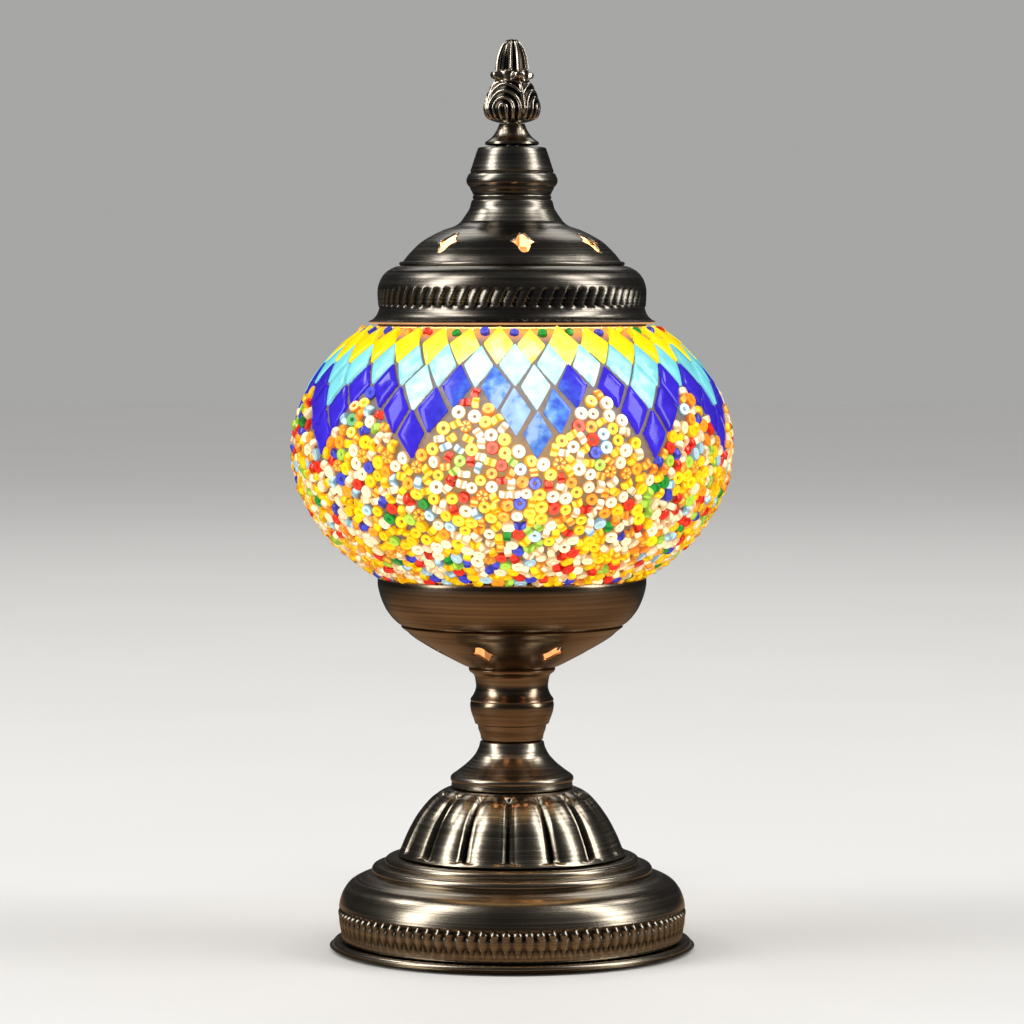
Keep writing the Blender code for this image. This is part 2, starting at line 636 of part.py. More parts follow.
def build_switch():
    middle = BED + SWITCH_HALF_HEIGHT + GAP / 2
    half = (SWITCH_WIDTH, SWITCH_LENGTH, SWITCH_HALF_HEIGHT)
    inside = (SWITCH_WIDTH - 2 * SWITCH_WALL, SWITCH_LENGTH - 2 * SWITCH_WALL, SWITCH_HALF_HEIGHT)
    lay = Matrix.Translation((0, SWITCH_CENTRE * MM, middle * MM)) @ Matrix.Rotation(math.pi / 2, 4, "X")
    passage = peg("cord_passage", None, CORD_RADIUS + 0.4, SWITCH_LENGTH + 10, lay, 12)
    window = block("rocker_window", None, (ROCKER_WIDTH + 0.8, 17.4, 10), (0, SWITCH_CENTRE, middle + 8))
    for name, side in (("switch_lower", -1), ("switch_upper", 1)):
        centre = middle + side * (SWITCH_HALF_HEIGHT + GAP) / 2
        shell = block(name, "black_plastic", half, (0, SWITCH_CENTRE, centre), bevel=1.5)
        hollow = block(name + "_hollow", None, inside, (0, SWITCH_CENTRE, centre - side * SWITCH_WALL))
        cut(shell, hollow)
        cut(shell, passage)
        if side > 0:
            cut(shell, window)

    # The rocker is seen from the side: its top is a shallow V, and its foot narrows to the part that moves
    # the contact
    pivot = middle + 1.6
    half_length = ROCKER_LENGTH / 2
    side_view = [(-half_length, 6.3), (-half_length, -0.5), (-3.0, -2.6), (3.0, -2.6), (half_length, -0.5)]
    side_view += [(half_length, 6.3), (0, 5.0)]
    lie = (
        at(0, SWITCH_CENTRE, pivot)
        @ Matrix.Rotation(math.radians(-ROCKER_TILT), 4, "X")
        @ Matrix.Rotation(math.pi / 2, 4, "Z")
        @ Matrix.Rotation(math.pi / 2, 4, "X")
    )
    rocker = realise(plate("switch_rocker", [side_view], "black_plastic", ROCKER_WIDTH, lie))
    across = at(0, SWITCH_CENTRE, pivot) @ Matrix.Rotation(math.pi / 2, 4, "Y")
    cut(rocker, peg("rocker_bore", None, 1.2, 12.0, across, 12))
    peg("rocker_pin", "zinc_steel", 0.9, SWITCH_WIDTH - 2 * SWITCH_WALL - 2 * GAP, across, 10)

    floor = BED + SWITCH_WALL + GAP
    for name, side in (("switch_terminal_lamp", -1), ("switch_terminal_plug", 1)):
        block(name, "brass", (5.0, 7.0, 3.0), (0, SWITCH_CENTRE + side * 9.5, floor + 1.5))
    for name, side in (("switch_screw_lamp", -1), ("switch_screw_plug", 1)):
        peg(name, "zinc_steel", 1.2, 9.5, at(6.0, SWITCH_CENTRE + side * 17, middle), 8)


def build_plug():
    middle = BED + PLUG_HEIGHT / 2
    body = block(
        "plug_body",
        "black_plastic",
        (PLUG_LENGTH, PLUG_WIDTH, PLUG_HEIGHT),
        (PLUG_START + PLUG_LENGTH / 2, PLUG_CENTRE, middle),
        bevel=3.0,
    )
    along = Matrix.Rotation(math.pi / 2, 4, "Y")
    entry = peg("plug_entry", None, CORD_RADIUS + 0.4, 8.0, at(PLUG_START, PLUG_CENTRE, middle) @ along, 12)
    cut(body, entry)
    front = PLUG_START + PLUG_LENGTH
    for name, side in (("plug_blade_left", -1), ("plug_blade_right", 1)):
        place = (front + GAP + 8, PLUG_CENTRE + side * BLADE_SPACING / 2, middle)
        block(name, "brass", (16, 1.5, 6.4), place, bevel=0.5)


build_globe()
build_cap()
build_cup_and_stem()
build_base()
build_rod()
build_harp()
build_holder()
build_bulb()
build_cord()
build_switch()
build_plug()
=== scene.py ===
"""The looks of the mosaic glass table lamp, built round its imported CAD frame.

Outlines are in millimetres as (radius, height) and run down a turned piece's outer side. `lathe` fits each
one to its CAD node's box, so the frame sets every size and place. Angles are in degrees from the lamp's
front, towards +X.
"""

import json
import math
import random

import bmesh
import bpy
import numpy as np
from mathutils import Matrix, Vector
from mathutils.kdtree import KDTree


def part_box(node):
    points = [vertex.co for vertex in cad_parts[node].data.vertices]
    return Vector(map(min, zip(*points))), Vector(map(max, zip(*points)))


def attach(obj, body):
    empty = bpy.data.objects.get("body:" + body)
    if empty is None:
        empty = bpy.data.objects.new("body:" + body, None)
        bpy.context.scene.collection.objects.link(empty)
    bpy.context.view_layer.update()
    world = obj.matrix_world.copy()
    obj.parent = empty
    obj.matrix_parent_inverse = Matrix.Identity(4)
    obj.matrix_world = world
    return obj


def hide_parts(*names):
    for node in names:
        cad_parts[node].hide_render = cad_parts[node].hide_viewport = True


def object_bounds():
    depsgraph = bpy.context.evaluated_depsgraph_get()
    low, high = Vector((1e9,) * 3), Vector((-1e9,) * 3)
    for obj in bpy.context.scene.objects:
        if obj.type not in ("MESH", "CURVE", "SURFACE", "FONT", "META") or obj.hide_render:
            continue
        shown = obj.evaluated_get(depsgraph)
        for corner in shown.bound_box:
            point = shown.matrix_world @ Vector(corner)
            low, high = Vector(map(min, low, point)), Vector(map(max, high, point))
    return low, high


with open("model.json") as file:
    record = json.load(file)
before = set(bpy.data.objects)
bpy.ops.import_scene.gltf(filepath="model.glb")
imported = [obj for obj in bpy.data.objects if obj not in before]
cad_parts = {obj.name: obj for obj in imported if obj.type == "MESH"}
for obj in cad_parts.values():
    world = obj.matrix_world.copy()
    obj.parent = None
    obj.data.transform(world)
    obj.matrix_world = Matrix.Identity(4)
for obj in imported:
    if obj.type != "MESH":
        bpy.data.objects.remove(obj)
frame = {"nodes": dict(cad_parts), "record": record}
CAD_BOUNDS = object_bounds()
SLOT_OF = {part["node"]: part["material_slot"] for part in frame["record"]["subparts"]}

MM = 0.001

# Globe: the glass, its rows of tiles and its field of beads, in mm and degrees
TOP_LATITUDE = 50.6
FOOT_LATITUDE = -54.2
GLASS_WALL = 2.4
BED_HIGH = 1.7
POINTS = 11
COLUMNS = 3 * POINTS
FRONT_POINT = 6.5
ROW_PITCH = 8.25
YELLOW_ROW = 39.6
TILE_WIDTH = 9.05
TILE_HEIGHT = 15.9
TILE_GAP = 0.45
TILE_HIGH = 2.6
BEAD_RADIUS = 2.03
BEAD_HEIGHT = 2.3
BEAD_LEVEL = 1.6
BEAD_SIDE_LEVEL = 1.5
BEAD_STEPS = 12
BEAD_HOLE = 0.42
BEAD_FOOT_LATITUDE = -52.3
BEAD_TOP_LATITUDE = 23.0
BEAD_ROOM = 1.84
BEAD_SIDE_ROOM = 1.46
BEAD_CROWDING = 0.775
BEAD_TRIES = 60000
BEAD_PUSHES = 45
BEADS_ON_SIDE = 0.42

WIDE_SPOT = 1.2  # how sharply the glow fades from in front of the bulb to the rim

# Metalwork
GADROONS = 68
PETALS = 95
FLUTES = 15
FRONT_VALLEY = -2.35
VENTS = 7
CAP_VENTS = (209.9, 6.9)  # height, first angle
CUP_VENTS = (89.3, -21.1)
VENT_BEARINGS = [0, 10, 25, 45, 60, 70, 80, 90]
VENT_RADII = [3.8, 3.0, 2.6, 2.6, 3.1, 3.85, 4.6, 4.85]
SHEET = 0.8
ROD_BORE = 5.3

# Lamp holder, switch and plug
HOLDER_RIBS = 9
HOLDER_RIB_PITCH = 2.6
HOLDER_SEAT = 109.7
CORD_SLEEVE_BORE = 2.35
SLEEVE_RIBS = 4
GASKET_BORES = {"globe_gasket": 34.4, "cap_gasket": 37.4}
BEVELS = {"switch_lower": 0.8, "switch_upper": 0.8, "switch_rocker": 0.5, "harp": 0.3, "plug_body": 1.0}

# Studio: degrees, watts and metres. What mirrors in the metal is darker than what lights the floor, as the
# photo's room is dark, and the backdrop has the brightness of the floor's far end.
ROOM_LIGHT = (0.66, 0.66, 0.66, 1)
BACKDROP = (0.385, 0.385, 0.380, 1)
MIRRORED_ROOM = (0.030, 0.030, 0.032, 1)
FLOOR_WIDTH = 12.0
SOFTBOX_DISTANCE = 1.65
# Softboxes: angle from the front, watts, width, height, height of the centre
SOFTBOXES = {
    "softbox_left": (-68, 26.0, 0.62, 2.1, 1.08),
    "softbox_right": (75, 22.5, 0.54, 2.1, 1.08),
    "softbox_back": (180, 7.0, 1.6, 0.9, 1.75),
    "softbox_high_left": (-105, 6.5, 0.5, 0.5, 1.8),
    "softbox_high_right": (108, 3.6, 0.4, 0.4, 1.75),
}
BULB_WATTS = 0.5
BULB_LIGHT_RADIUS = 0.012
BULB_LIGHT_RISE = 0.014  # above the bulb, so that its glass doesn't shade it
BULB_COLOUR = (1.0, 0.70, 0.44)
CAMERA_LENS = 148.0
CAMERA_PLACE = (0.0, -1.247, 0.195)
CAMERA_AIM = (0.0, 0.0, 0.130)

# Bead colours: share, colour, colour at its edges, colour in front of the bulb
BEAD_COLOURS = {
    "yellow": (0.29, (1.0, 0.68, 0.01), (0.52, 0.18, 0.0), (1.0, 0.92, 0.20)),
    "cream": (0.29, (1.0, 0.90, 0.56), (0.42, 0.17, 0.04), (1.0, 1.0, 0.88)),
    "amber": (0.08, (1.0, 0.36, 0.02), (0.45, 0.07, 0.01), (1.0, 0.58, 0.10)),
    "striped": (0.08, (1.0, 0.60, 0.05), (0.38, 0.04, 0.01), (1.0, 0.85, 0.30)),
    "red": (0.08, (0.85, 0.04, 0.02), (0.25, 0.0, 0.0), (1.0, 0.14, 0.06)),
    "clear": (0.07, (0.55, 0.74, 0.78), (0.05, 0.14, 0.20), (0.90, 1.0, 1.0)),
    "cobalt": (0.05, (0.06, 0.07, 0.55), (0.01, 0.01, 0.12), (0.20, 0.24, 0.85)),
    "green": (0.03, (0.02, 0.30, 0.04), (0.0, 0.06, 0.01), (0.10, 0.55, 0.10)),
    "lime": (0.04, (0.45, 0.68, 0.06), (0.10, 0.24, 0.02), (0.80, 0.95, 0.30)),
}


# ---- Frame ----


def extent(node):
    """(widest radius, lowest height, highest height) of a CAD node, in mm."""
    low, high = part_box(node)
    return (high.x - low.x) / 2 / MM, low.z / MM, high.z / MM


def globe_shape():
    """(radius, half height, height of the centre) of the glass's outside, as an ellipsoid."""
    radius, foot, top = extent("globe_glass")
    high, low = math.sin(math.radians(TOP_LATITUDE)), math.sin(math.radians(FOOT_LATITUDE))
    half = (top - foot) / (high - low)
    return radius, half, top - half * high


GLOBE_RADIUS, GLOBE_HALF, GLOBE_CENTRE = globe_shape()


def on_globe(latitude, angle, proud):
    """Points on the globe's outside, moved out by proud, and their outward normals."""
    a, b = GLOBE_RADIUS + proud, GLOBE_HALF + proud
    lat, turn = np.radians(latitude), np.radians(angle)
    around = np.stack([np.sin(turn), -np.cos(turn), np.zeros_like(turn)], -1)
    up = np.array([0.0, 0.0, 1.0])
    point = around * (a * np.cos(lat))[..., None] + up * (GLOBE_CENTRE + b * np.sin(lat))[..., None]
    normal = around * (np.cos(lat) / a)[..., None] + up * (np.sin(lat) / b)[..., None]
    return point, normal / np.linalg.norm(normal, axis=-1, keepdims=True)


# ---- Meshes ----


def piece(name, mesh, materials, body, *nodes, slot=None):
    """A finished piece: a smooth-shaded object with its materials, on its body and standing for CAD nodes."""
    obj = bpy.data.objects.new(name, mesh)
    bpy.context.scene.collection.objects.link(obj)
    for material in materials:
        mesh.materials.append(material)
    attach(obj, body)
    if nodes:
        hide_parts(*nodes)
    return obj


def mesh_of(name, points, faces, sharp=None):
    """A mesh from points in mm. Edges bent more than sharp degrees stay sharp."""
    mesh = bpy.data.meshes.new(name)
    mesh.from_pydata((np.asarray(points) * MM).tolist(), [], [tuple(face) for face in faces])
    mesh.validate()
    mesh.shade_smooth()
    if sharp:
        mesh.set_sharp_from_angle(angle=math.radians(sharp))
    return mesh


def flowing(points, spacing):
    """Points about spacing apart on a smooth curve through the given ones (Catmull-Rom)."""
    knots = np.array([points[0], *points, points[-1]], float)
    found = []
    for i in range(1, len(knots) - 2):
        p, q, s, u = knots[i - 1 : i + 3]
        count = max(1, round(np.linalg.norm(s - q) / spacing))
        t = (np.arange(count) / count)[:, None]
        found.append(
            0.5 * (2 * q + (s - p) * t + (2 * p - 5 * q + 4 * s - u) * t**2 + (3 * q - p - 3 * s + u) * t**3)
        )
    return np.concatenate([*found, knots[-1:]])


def profile(first, *others):
    """An outline's runs, each of which starts where the one before it ended."""
    runs = [first]
    for run in others:
        runs.append([runs[-1][-1], *run])
    return runs


def straight(*points):
    """An outline's runs, as straight lines from point to point."""
    return [list(pair) for pair in zip(points, points[1:])]


def outline_of(runs, spacing):
    """An outline from runs, which are smooth inside and meet at sharp corners."""
    found = [flowing(run, spacing) for run in runs]
    joined = [found[0]]
    for before, after in zip(found, found[1:]):
        touching = np.allclose(before[-1], after[0])
        joined.append(after[1:] if touching else after)
    return np.concatenate(joined)


def fitted(outline, node, reach):
    """The outline, stretched to its CAD node's width and height, and down by reach more."""
    width, foot, top = extent(node)
    foot -= reach
    radius, height = outline[:, 0], outline[:, 1]
    share = (height - height.min()) / (height.max() - height.min())
    return np.stack([radius * width / radius.max(), foot + share * (top - foot)], -1)


def normals_2d(outline):
    """Outward normals of an outline that runs down its outer side."""
    along = np.gradient(outline, axis=0)
    normal = np.stack([-along[:, 1], along[:, 0]], -1)
    return normal / np.maximum(np.linalg.norm(normal, axis=1, keepdims=True), 1e-9)


def surface_faces(rows, columns, keep=None):
    """Quads of a (row, column) grid of points that closes round. Keep says which of them stay."""
    i, j = np.meshgrid(np.arange(rows - 1), np.arange(columns), indexing="ij")
    after = (j + 1) % columns
    this, below = i * columns, (i + 1) * columns
    faces = np.stack([this + j, below + j, below + after, this + after], -1)
    if keep is not None:
        faces = faces[keep]
    return faces.reshape(-1, 4)


def vent_radius(bearing):
    """Distance from a vent's centre to its edge at a bearing, which is 0 to its left and right."""
    folded = np.degrees(np.arctan2(np.abs(np.sin(bearing)), np.abs(np.cos(bearing))))
    return np.interp(folded, VENT_BEARINGS, VENT_RADII)


def turned(radius, height, degrees):
    """Points of a (row, column) grid, from arrays of radii, heights and angles."""
    bearing = np.radians(degrees)
    return np.stack([radius * np.sin(bearing), -radius * np.cos(bearing), height], -1).reshape(-1, 3)


def lathe(
    name, runs, node, body, material, columns, spacing,
    relief=None, vents=None, inside=None, sharp=35, reach=0.0,
):
    """A turned piece fitted to its CAD node.

    Relief takes (outline, angles) and returns how far each point of the (row, column) grid stands out. Vents
    is (height, first angle). Inside is the material of a sheet's inner face.
    """
    outline = fitted(outline_of(runs, spacing), node, reach)
    normal = normals_2d(outline)
    steps = np.linalg.norm(np.diff(outline, axis=0), axis=1)
    along = np.concatenate([[0.0], np.cumsum(steps)])
    degrees = np.arange(columns) * 360 / columns
    where, turn = np.meshgrid(along, degrees, indexing="ij")
    stands = np.zeros_like(where)
    if relief:
        stands = relief(outline, degrees) * smooth_step((normal[:, 0] - 0.04) * 12)[:, None]
    keep = None
    if vents:
        where, turn, keep = open_vents(where, turn, outline, along, *vents)
    radius = np.interp(where, along, outline[:, 0]) + stands * np.interp(where, along, normal[:, 0])
    height = np.interp(where, along, outline[:, 1]) + stands * np.interp(where, along, normal[:, 1])
    mesh = mesh_of(name, turned(radius, height, turn), surface_faces(len(outline), columns, keep), sharp)
    store(mesh, "along", where)
    store(mesh, "stand", stands / max(1e-6, -stands.min()))
    weld(mesh)
    made = piece(name, mesh, [material] + ([inside] if inside else []), body, node)
    if inside:
        solidify = made.modifiers.new("sheet", "SOLIDIFY")
        solidify.thickness = SHEET * MM
        solidify.offset = -1
        solidify.material_offset = 1
    return made


def ring(name, runs, body, material, slot, columns=160, spacing=0.5, place=None):
    """A turned piece at its outline's own size, for a detail without a CAD node. Place moves it."""
    outline = outline_of(runs, spacing)
    radius, degrees = np.meshgrid(outline[:, 0], np.arange(columns) * 360 / columns, indexing="ij")
    height = np.repeat(outline[:, 1:], columns, 1)
    mesh = mesh_of(name, turned(radius, height, degrees), surface_faces(len(outline), columns), 35)
    if place:
        mesh.transform(place)
    return piece(name, mesh, [material], body, slot=slot)


def open_vents(where, turn, outline, along, height, first):
    """Moves the grid's points onto the edges of the vents, and says which faces are left."""
    level = along[np.abs(outline[:, 1] - height).argmin()]
    radius = np.interp(level, along, outline[:, 0])
    off = from_nearest(turn, first, VENTS)
    across, down = np.radians(off) * radius, where - level
    distance, bearing = np.hypot(across, down), np.arctan2(down, across)
    edge = vent_radius(bearing)
    middle_across = (across[:-1] + across[1:]) / 2
    middle_across = (middle_across + np.roll(middle_across, -1, 1)) / 2
    middle_down = (down[:-1] + down[1:]) / 2
    cut = np.hypot(middle_across, middle_down) < vent_radius(np.arctan2(middle_down, middle_across))
    cut &= np.abs(off[:-1]) < 360 / VENTS / 3
    near_cut = np.zeros_like(where, bool)
    near_open = np.zeros_like(where, bool)
    for di in (0, 1):
        for dj in (0, 1):
            rolled = np.roll(cut, dj, 1)
            near_cut[di : di + len(cut)] |= rolled
            near_open[di : di + len(cut)] |= ~rolled
    rim = near_cut & near_open
    scale = np.where(rim, edge / np.maximum(distance, 1e-6), 1.0)
    new_across, new_down = across * scale, down * scale
    return level + new_down, turn + np.degrees((new_across - across) / radius), ~cut


def weld(mesh):
    """Closes the tips of a turned piece, where a row of points meets on the axis."""
    welder = bmesh.new()
    welder.from_mesh(mesh)
    bmesh.ops.remove_doubles(welder, verts=welder.verts, dist=1e-6)
    loose = [v for v in welder.verts if not v.link_faces]
    bmesh.ops.delete(welder, geom=loose, context="VERTS")
    welder.to_mesh(mesh)
    welder.free()


def store(mesh, name, values):
    """Stores a number for each point, for materials to read."""
    attribute = mesh.attributes.new(name, "FLOAT", "POINT")
    attribute.data.foreach_set("value", np.asarray(values, np.float32).ravel())


# ---- Materials ----


class Look:
    """A material that is built node by node. What glows isn't sampled as a light: the glows are too many."""

    def __init__(self, name, glows=False):
        self.material = bpy.data.materials.new(name)
        if glows:
            self.material.cycles.emission_sampling = "NONE"
        self.material.use_nodes = True
        self.tree = self.material.node_tree
        self.surface = self.tree.nodes["Principled BSDF"]

    def node(self, kind, settings=None, **inputs):
        """A new node. Inputs go by name, or by number as i0, i1 and so on."""
        made = self.tree.nodes.new("ShaderNode" + kind)
        for key, value in (settings or {}).items():
            setattr(made, key, value)
        for key, value in inputs.items():
            self.put(made, key.replace("_", " "), value)
        return made

    def put(self, node, key, value):
        socket = node.inputs[int(key[1:])] if key[0] == "i" and key[1:].isdigit() else node.inputs[key]
        if isinstance(value, bpy.types.NodeSocket):
            self.tree.links.new(value, socket)
        elif isinstance(value, tuple) and len(value) == 3 and socket.type == "RGBA":
            socket.default_value = (*value, 1.0)
        else:
            socket.default_value = value

    def set(self, **inputs):
        for key, value in inputs.items():
            self.put(self.surface, key.replace("_", " "), value)
        return self.material

    def maths(self, operation, a, b, clamp=False):
        return self.node("Math", {"operation": operation, "use_clamp": clamp}, i0=a, i1=b).outputs[0]

    def times(self, a, b, clamp=False):
        return self.maths("MULTIPLY", a, b, clamp)

    def plus(self, a, b):
        return self.maths("ADD", a, b)

    def vector(self, operation, a, *b):
        made = self.node("VectorMath", {"operation": operation}, i0=a, **{"i1": value for value in b})
        return made.outputs["Value" if operation in ("DOT_PRODUCT", "LENGTH") else "Vector"]

    def attribute(self, name):
        return self.node("Attribute", {"attribute_name": name}).outputs["Fac"]

    def mix(self, share, a, b):
        return self.node("Mix", {"data_type": "RGBA"}, i0=share, i6=a, i7=b).outputs[2]

    def remap(self, value, low, high, to_low=0.0, to_high=1.0):
        return self.node("MapRange", i0=value, i1=low, i2=high, i3=to_low, i4=to_high).outputs[0]

    def noise(self, scale, detail, vector=None, roughness=0.5):
        inputs = {"Scale": scale, "Detail": detail, "Roughness": roughness}
        inputs["Vector"] = vector or self.position()
        return self.node("TexNoise", **inputs).outputs[0]

    def position(self):
        return self.node("TexCoord").outputs["Object"]

    def bump(self, height, distance_mm):
        return self.node("Bump", Height=height, Distance=distance_mm * MM).outputs[0]


def bronze(name, dark, bright, share, roughness):
    """Antique bronze on spun sheet: dark patina, brushed through in fine rings that follow the turning. The
    relief's hollows go near-black, patina with painted shade in them.
    """
    look = Look(name)
    along = look.attribute("along")
    around = look.vector("NORMALIZE", look.vector("MULTIPLY", look.position(), (1, 1, 0)))
    parts = look.node("SeparateXYZ", Vector=around)
    ring = look.node("CombineXYZ", X=along, Y=parts.outputs[0], Z=parts.outputs[1]).outputs[0]
    fine_at = look.vector("MULTIPLY", ring, (7.0, 0.35, 0.35))
    broad_at = look.vector("MULTIPLY", ring, (1.3, 0.5, 0.5))
    fine = look.noise(1.0, 4.0, fine_at, 0.7)
    broad = look.noise(1.0, 3.0, broad_at)
    patches = look.noise(55.0, 4.0)
    worn = look.plus(look.times(fine, 0.55), look.times(broad, 0.45))
    worn = look.remap(worn, 0.36 - share * 0.2, 0.80 - share * 0.2)
    worn = look.times(worn, look.remap(patches, 0.3, 0.7, 0.8, 1.0))
    # Near-black in the relief's hollows: patina, with painted shade
    hollow_patina_and_shade = look.remap(look.attribute("stand"), -0.92, -0.28, 0.93, 0.0)
    uneven = look.plus(look.times(patches, 0.4), look.times(fine, 0.6))
    look.set(
        Base_Color=look.mix(hollow_patina_and_shade, look.mix(worn, dark, bright), (0.010, 0.008, 0.006)),
        Metallic=1.0,
        Roughness=look.remap(uneven, 0.35, 0.7, *roughness),
        Anisotropic=0.35,
        Tangent=look.node("Tangent", {"direction_type": "RADIAL", "axis": "Z"}).outputs[0],
        Normal=look.bump(look.plus(fine, look.times(patches, 0.5)), 0.015),
    )
    return look.material


def cast(name):
    """Cast bronze: dark in its hollows and polished on its high points."""
    look = Look(name)
    stand = look.attribute("stand")
    grain = look.noise(900.0, 4.0)
    worn = look.remap(look.plus(stand, look.times(grain, 0.15)), -0.45, 0.35)
    return look.set(
        Base_Color=look.mix(worn, (0.035, 0.030, 0.024), (0.58, 0.50, 0.40)),
        Metallic=1.0,
        Roughness=look.remap(grain, 0.3, 0.7, 0.15, 0.27),
        Normal=look.bump(grain, 0.015),
    )


def steel(name, colour):
    look = Look(name)
    patches, grain = look.noise(90.0, 4.0), look.noise(1260.0, 3.0)
    return look.set(
        Base_Color=look.mix(patches, tuple(0.72 * c for c in colour), colour),
        Metallic=1.0,
        Roughness=look.remap(patches, 0.3, 0.7, 0.22, 0.42),
        Normal=look.bump(grain, 0.012),
    )


def plastic(name, colour, roughness, grain_mm=0.02):
    look = Look(name)
    grain, patches = look.noise(1500.0, 3.0), look.noise(60.0, 3.0)
    return look.set(
        Base_Color=look.mix(patches, tuple(0.75 * c for c in colour), colour),
        Roughness=look.remap(patches, 0.3, 0.7, roughness - 0.06, roughness + 0.08),
        Normal=look.bump(grain, grain_mm),
    )


def felt(name):
    look = Look(name)
    fibres, clumps = look.noise(1600.0, 6.0, roughness=0.8), look.noise(180.0, 4.0)
    worn = look.times(fibres, clumps)
    return look.set(
        Base_Color=look.mix(worn, (0.008, 0.012, 0.009), (0.05, 0.07, 0.05)),
        Roughness=0.95,
        Sheen_Weight=0.5,
        Normal=look.bump(fibres, 0.25),
    )


def hot_spot(look, power):
    """How directly the bulb lies behind a point of the globe: 1 in line with it, and 0 at the globe's rim."""
    geometry = look.node("NewGeometry").outputs
    bulb_low, bulb_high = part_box("bulb_envelope")
    centre = tuple((bulb_low + bulb_high) / 2)
    out = look.vector("NORMALIZE", look.vector("SUBTRACT", geometry["Position"], centre))
    facing = look.vector("DOT_PRODUCT", out, geometry["Incoming"])
    return look.maths("POWER", look.maths("MAXIMUM", facing, 0.0), power)


def lit_glass(
    name, colour, deep, pale, glow, mottle, spot_power, scale=700.0, shine=0.3, white=0.7,
    rim=(0.3, 0.9), striped=False,
):
    """Glass lit from behind, with the bulb's light through it painted in as a glow. Its colour glows, pales
    in front of the bulb in a painted hot spot and deepens at its edges in painted shade.

    Glow is its strength at the globe's rim and in front of the bulb, mottle how cloudy it is, white how far
    the brightest spot goes past its pale colour, and striped whether it has the marks of a bead: real
    coloured lines, with painted shade at its outline and round its hole.
    """
    look = Look(name, glows=True)
    spot, wide = hot_spot(look, spot_power), hot_spot(look, WIDE_SPOT)
    edge = look.node("LayerWeight", Blend=0.5).outputs["Facing"]
    cloud = look.noise(scale, 4.0)
    island = look.node("NewGeometry").outputs["Random Per Island"]
    # Painted hot spot: the colour washes out where the bulb lies behind the glass
    hot_spot_wash = look.times(spot, look.remap(cloud, 0.35, 0.6, 0.85, 1.8), clamp=True)
    seen = look.mix(hot_spot_wash, colour, pale)
    hottest = look.times(look.maths("POWER", hot_spot_wash, 3.0), white)
    seen = look.mix(hottest, seen, (1.0, 1.0, 0.98))
    seen = look.mix(look.remap(cloud, 0.3, 0.7, mottle, 0.0), seen, deep)
    if striped:
        # Real coloured lines on striped beads, and painted shade at every bead's outline and hole
        seen = look.mix(look.remap(look.attribute("stripe_and_shade"), 0.25, 0.75, 0.0, 0.95), seen, deep)
    # Painted shade: the colour deepens towards the outline as seen
    seen = look.mix(look.remap(edge, *rim, 0.0, 0.9), seen, deep)
    # Painted light: the bulb's light through the glass, as a glow
    strength = look.times(look.remap(wide, 0.0, 1.0, *glow), look.remap(island, 0.0, 1.0, 0.75, 1.1))
    return look.set(
        Base_Color=look.mix(cloud, tuple(0.35 * c for c in colour), tuple(0.55 * c for c in colour)),
        Roughness=look.remap(cloud, 0.3, 0.7, 0.08, 0.2),
        Specular_IOR_Level=shine,
        Emission_Color=seen,
        Emission_Strength=strength,
        Normal=look.bump(look.noise(scale * 0.5, 2.0), 0.05),
    )


def cloudy(name, scale, detail, colours, roughness, glow=None, bump_mm=None, **more):
    """A material whose colour, roughness and glow each vary between two values in the same clouds."""
    look = Look(name, glows=bool(glow))
    cloud = look.noise(scale, detail)
    inputs = {"Base_Color": look.mix(cloud, *colours), "Roughness": look.remap(cloud, 0.3, 0.7, *roughness)}
    if glow:
        inputs["Emission_Color"] = look.mix(cloud, *glow)
    if bump_mm:
        inputs["Normal"] = look.bump(cloud, bump_mm)
    return look.set(**inputs, **more)


BRONZE_DARK = bronze("bronze_dark", (0.060, 0.054, 0.046), (0.46, 0.41, 0.34), 0.35, (0.18, 0.33))
BRONZE_BASE = bronze("bronze_base", (0.066, 0.057, 0.042), (0.60, 0.52, 0.40), 0.44, (0.17, 0.31))
# Bronze for the cup and stem, warmer than the rest: the extra warmth is a painted reflection of a brown
# tabletop
BRONZE_WARM = bronze("bronze_warm", (0.080, 0.056, 0.036), (0.50, 0.37, 0.25), 0.5, (0.15, 0.28))
CAST = cast("cast_bronze")
STEEL = steel("zinc_steel", (0.56, 0.55, 0.52))
BRASS = steel("bright_brass", (0.80, 0.58, 0.26))
IRON = plastic("cast_iron", (0.10, 0.10, 0.10), 0.7, 0.15)
RUBBER = plastic("black_rubber", (0.022, 0.022, 0.022), 0.75, 0.04)
BLACK = plastic("black_plastic", (0.016, 0.016, 0.018), 0.34)
CERAMIC = plastic("white_ceramic", (0.82, 0.80, 0.74), 0.3)
FELT = felt("black_felt")
# The bare inner face of a spun shell, with the bulb's light on it painted in as an orange glow
INNER_PAINTED_GLOW = cloudy(
    "inner_brass_painted_glow", 80.0, 5.0, ((0.45, 0.26, 0.12), (0.78, 0.52, 0.30)), (0.4, 0.6),
    ((1.0, 0.50, 0.22), (1.0, 0.66, 0.36)), 0.05, Emission_Strength=0.37, Metallic=0.6,
)
GLASS = cloudy(
    "clear_glass", 120.0, 4.0, ((0.93, 0.95, 0.94), (1.0, 1.0, 1.0)), (0.01, 0.06),
    Transmission_Weight=1.0, IOR=1.5,
)


# ---- Relief ----


def ridge(x):
    """A round ridge over -1 to 1, and 0 outside."""
    return np.sqrt(np.clip(1 - x * x, 0, 1))


def smooth_step(x):
    t = np.clip(x, 0, 1)
    return t * t * (3 - 2 * t)


def from_nearest(turn, first, count):
    """Degrees from the nearest of count lines that stand evenly round the axis, one of them at first."""
    pitch = 360 / count
    return (turn - first + pitch / 2) % pitch - pitch / 2


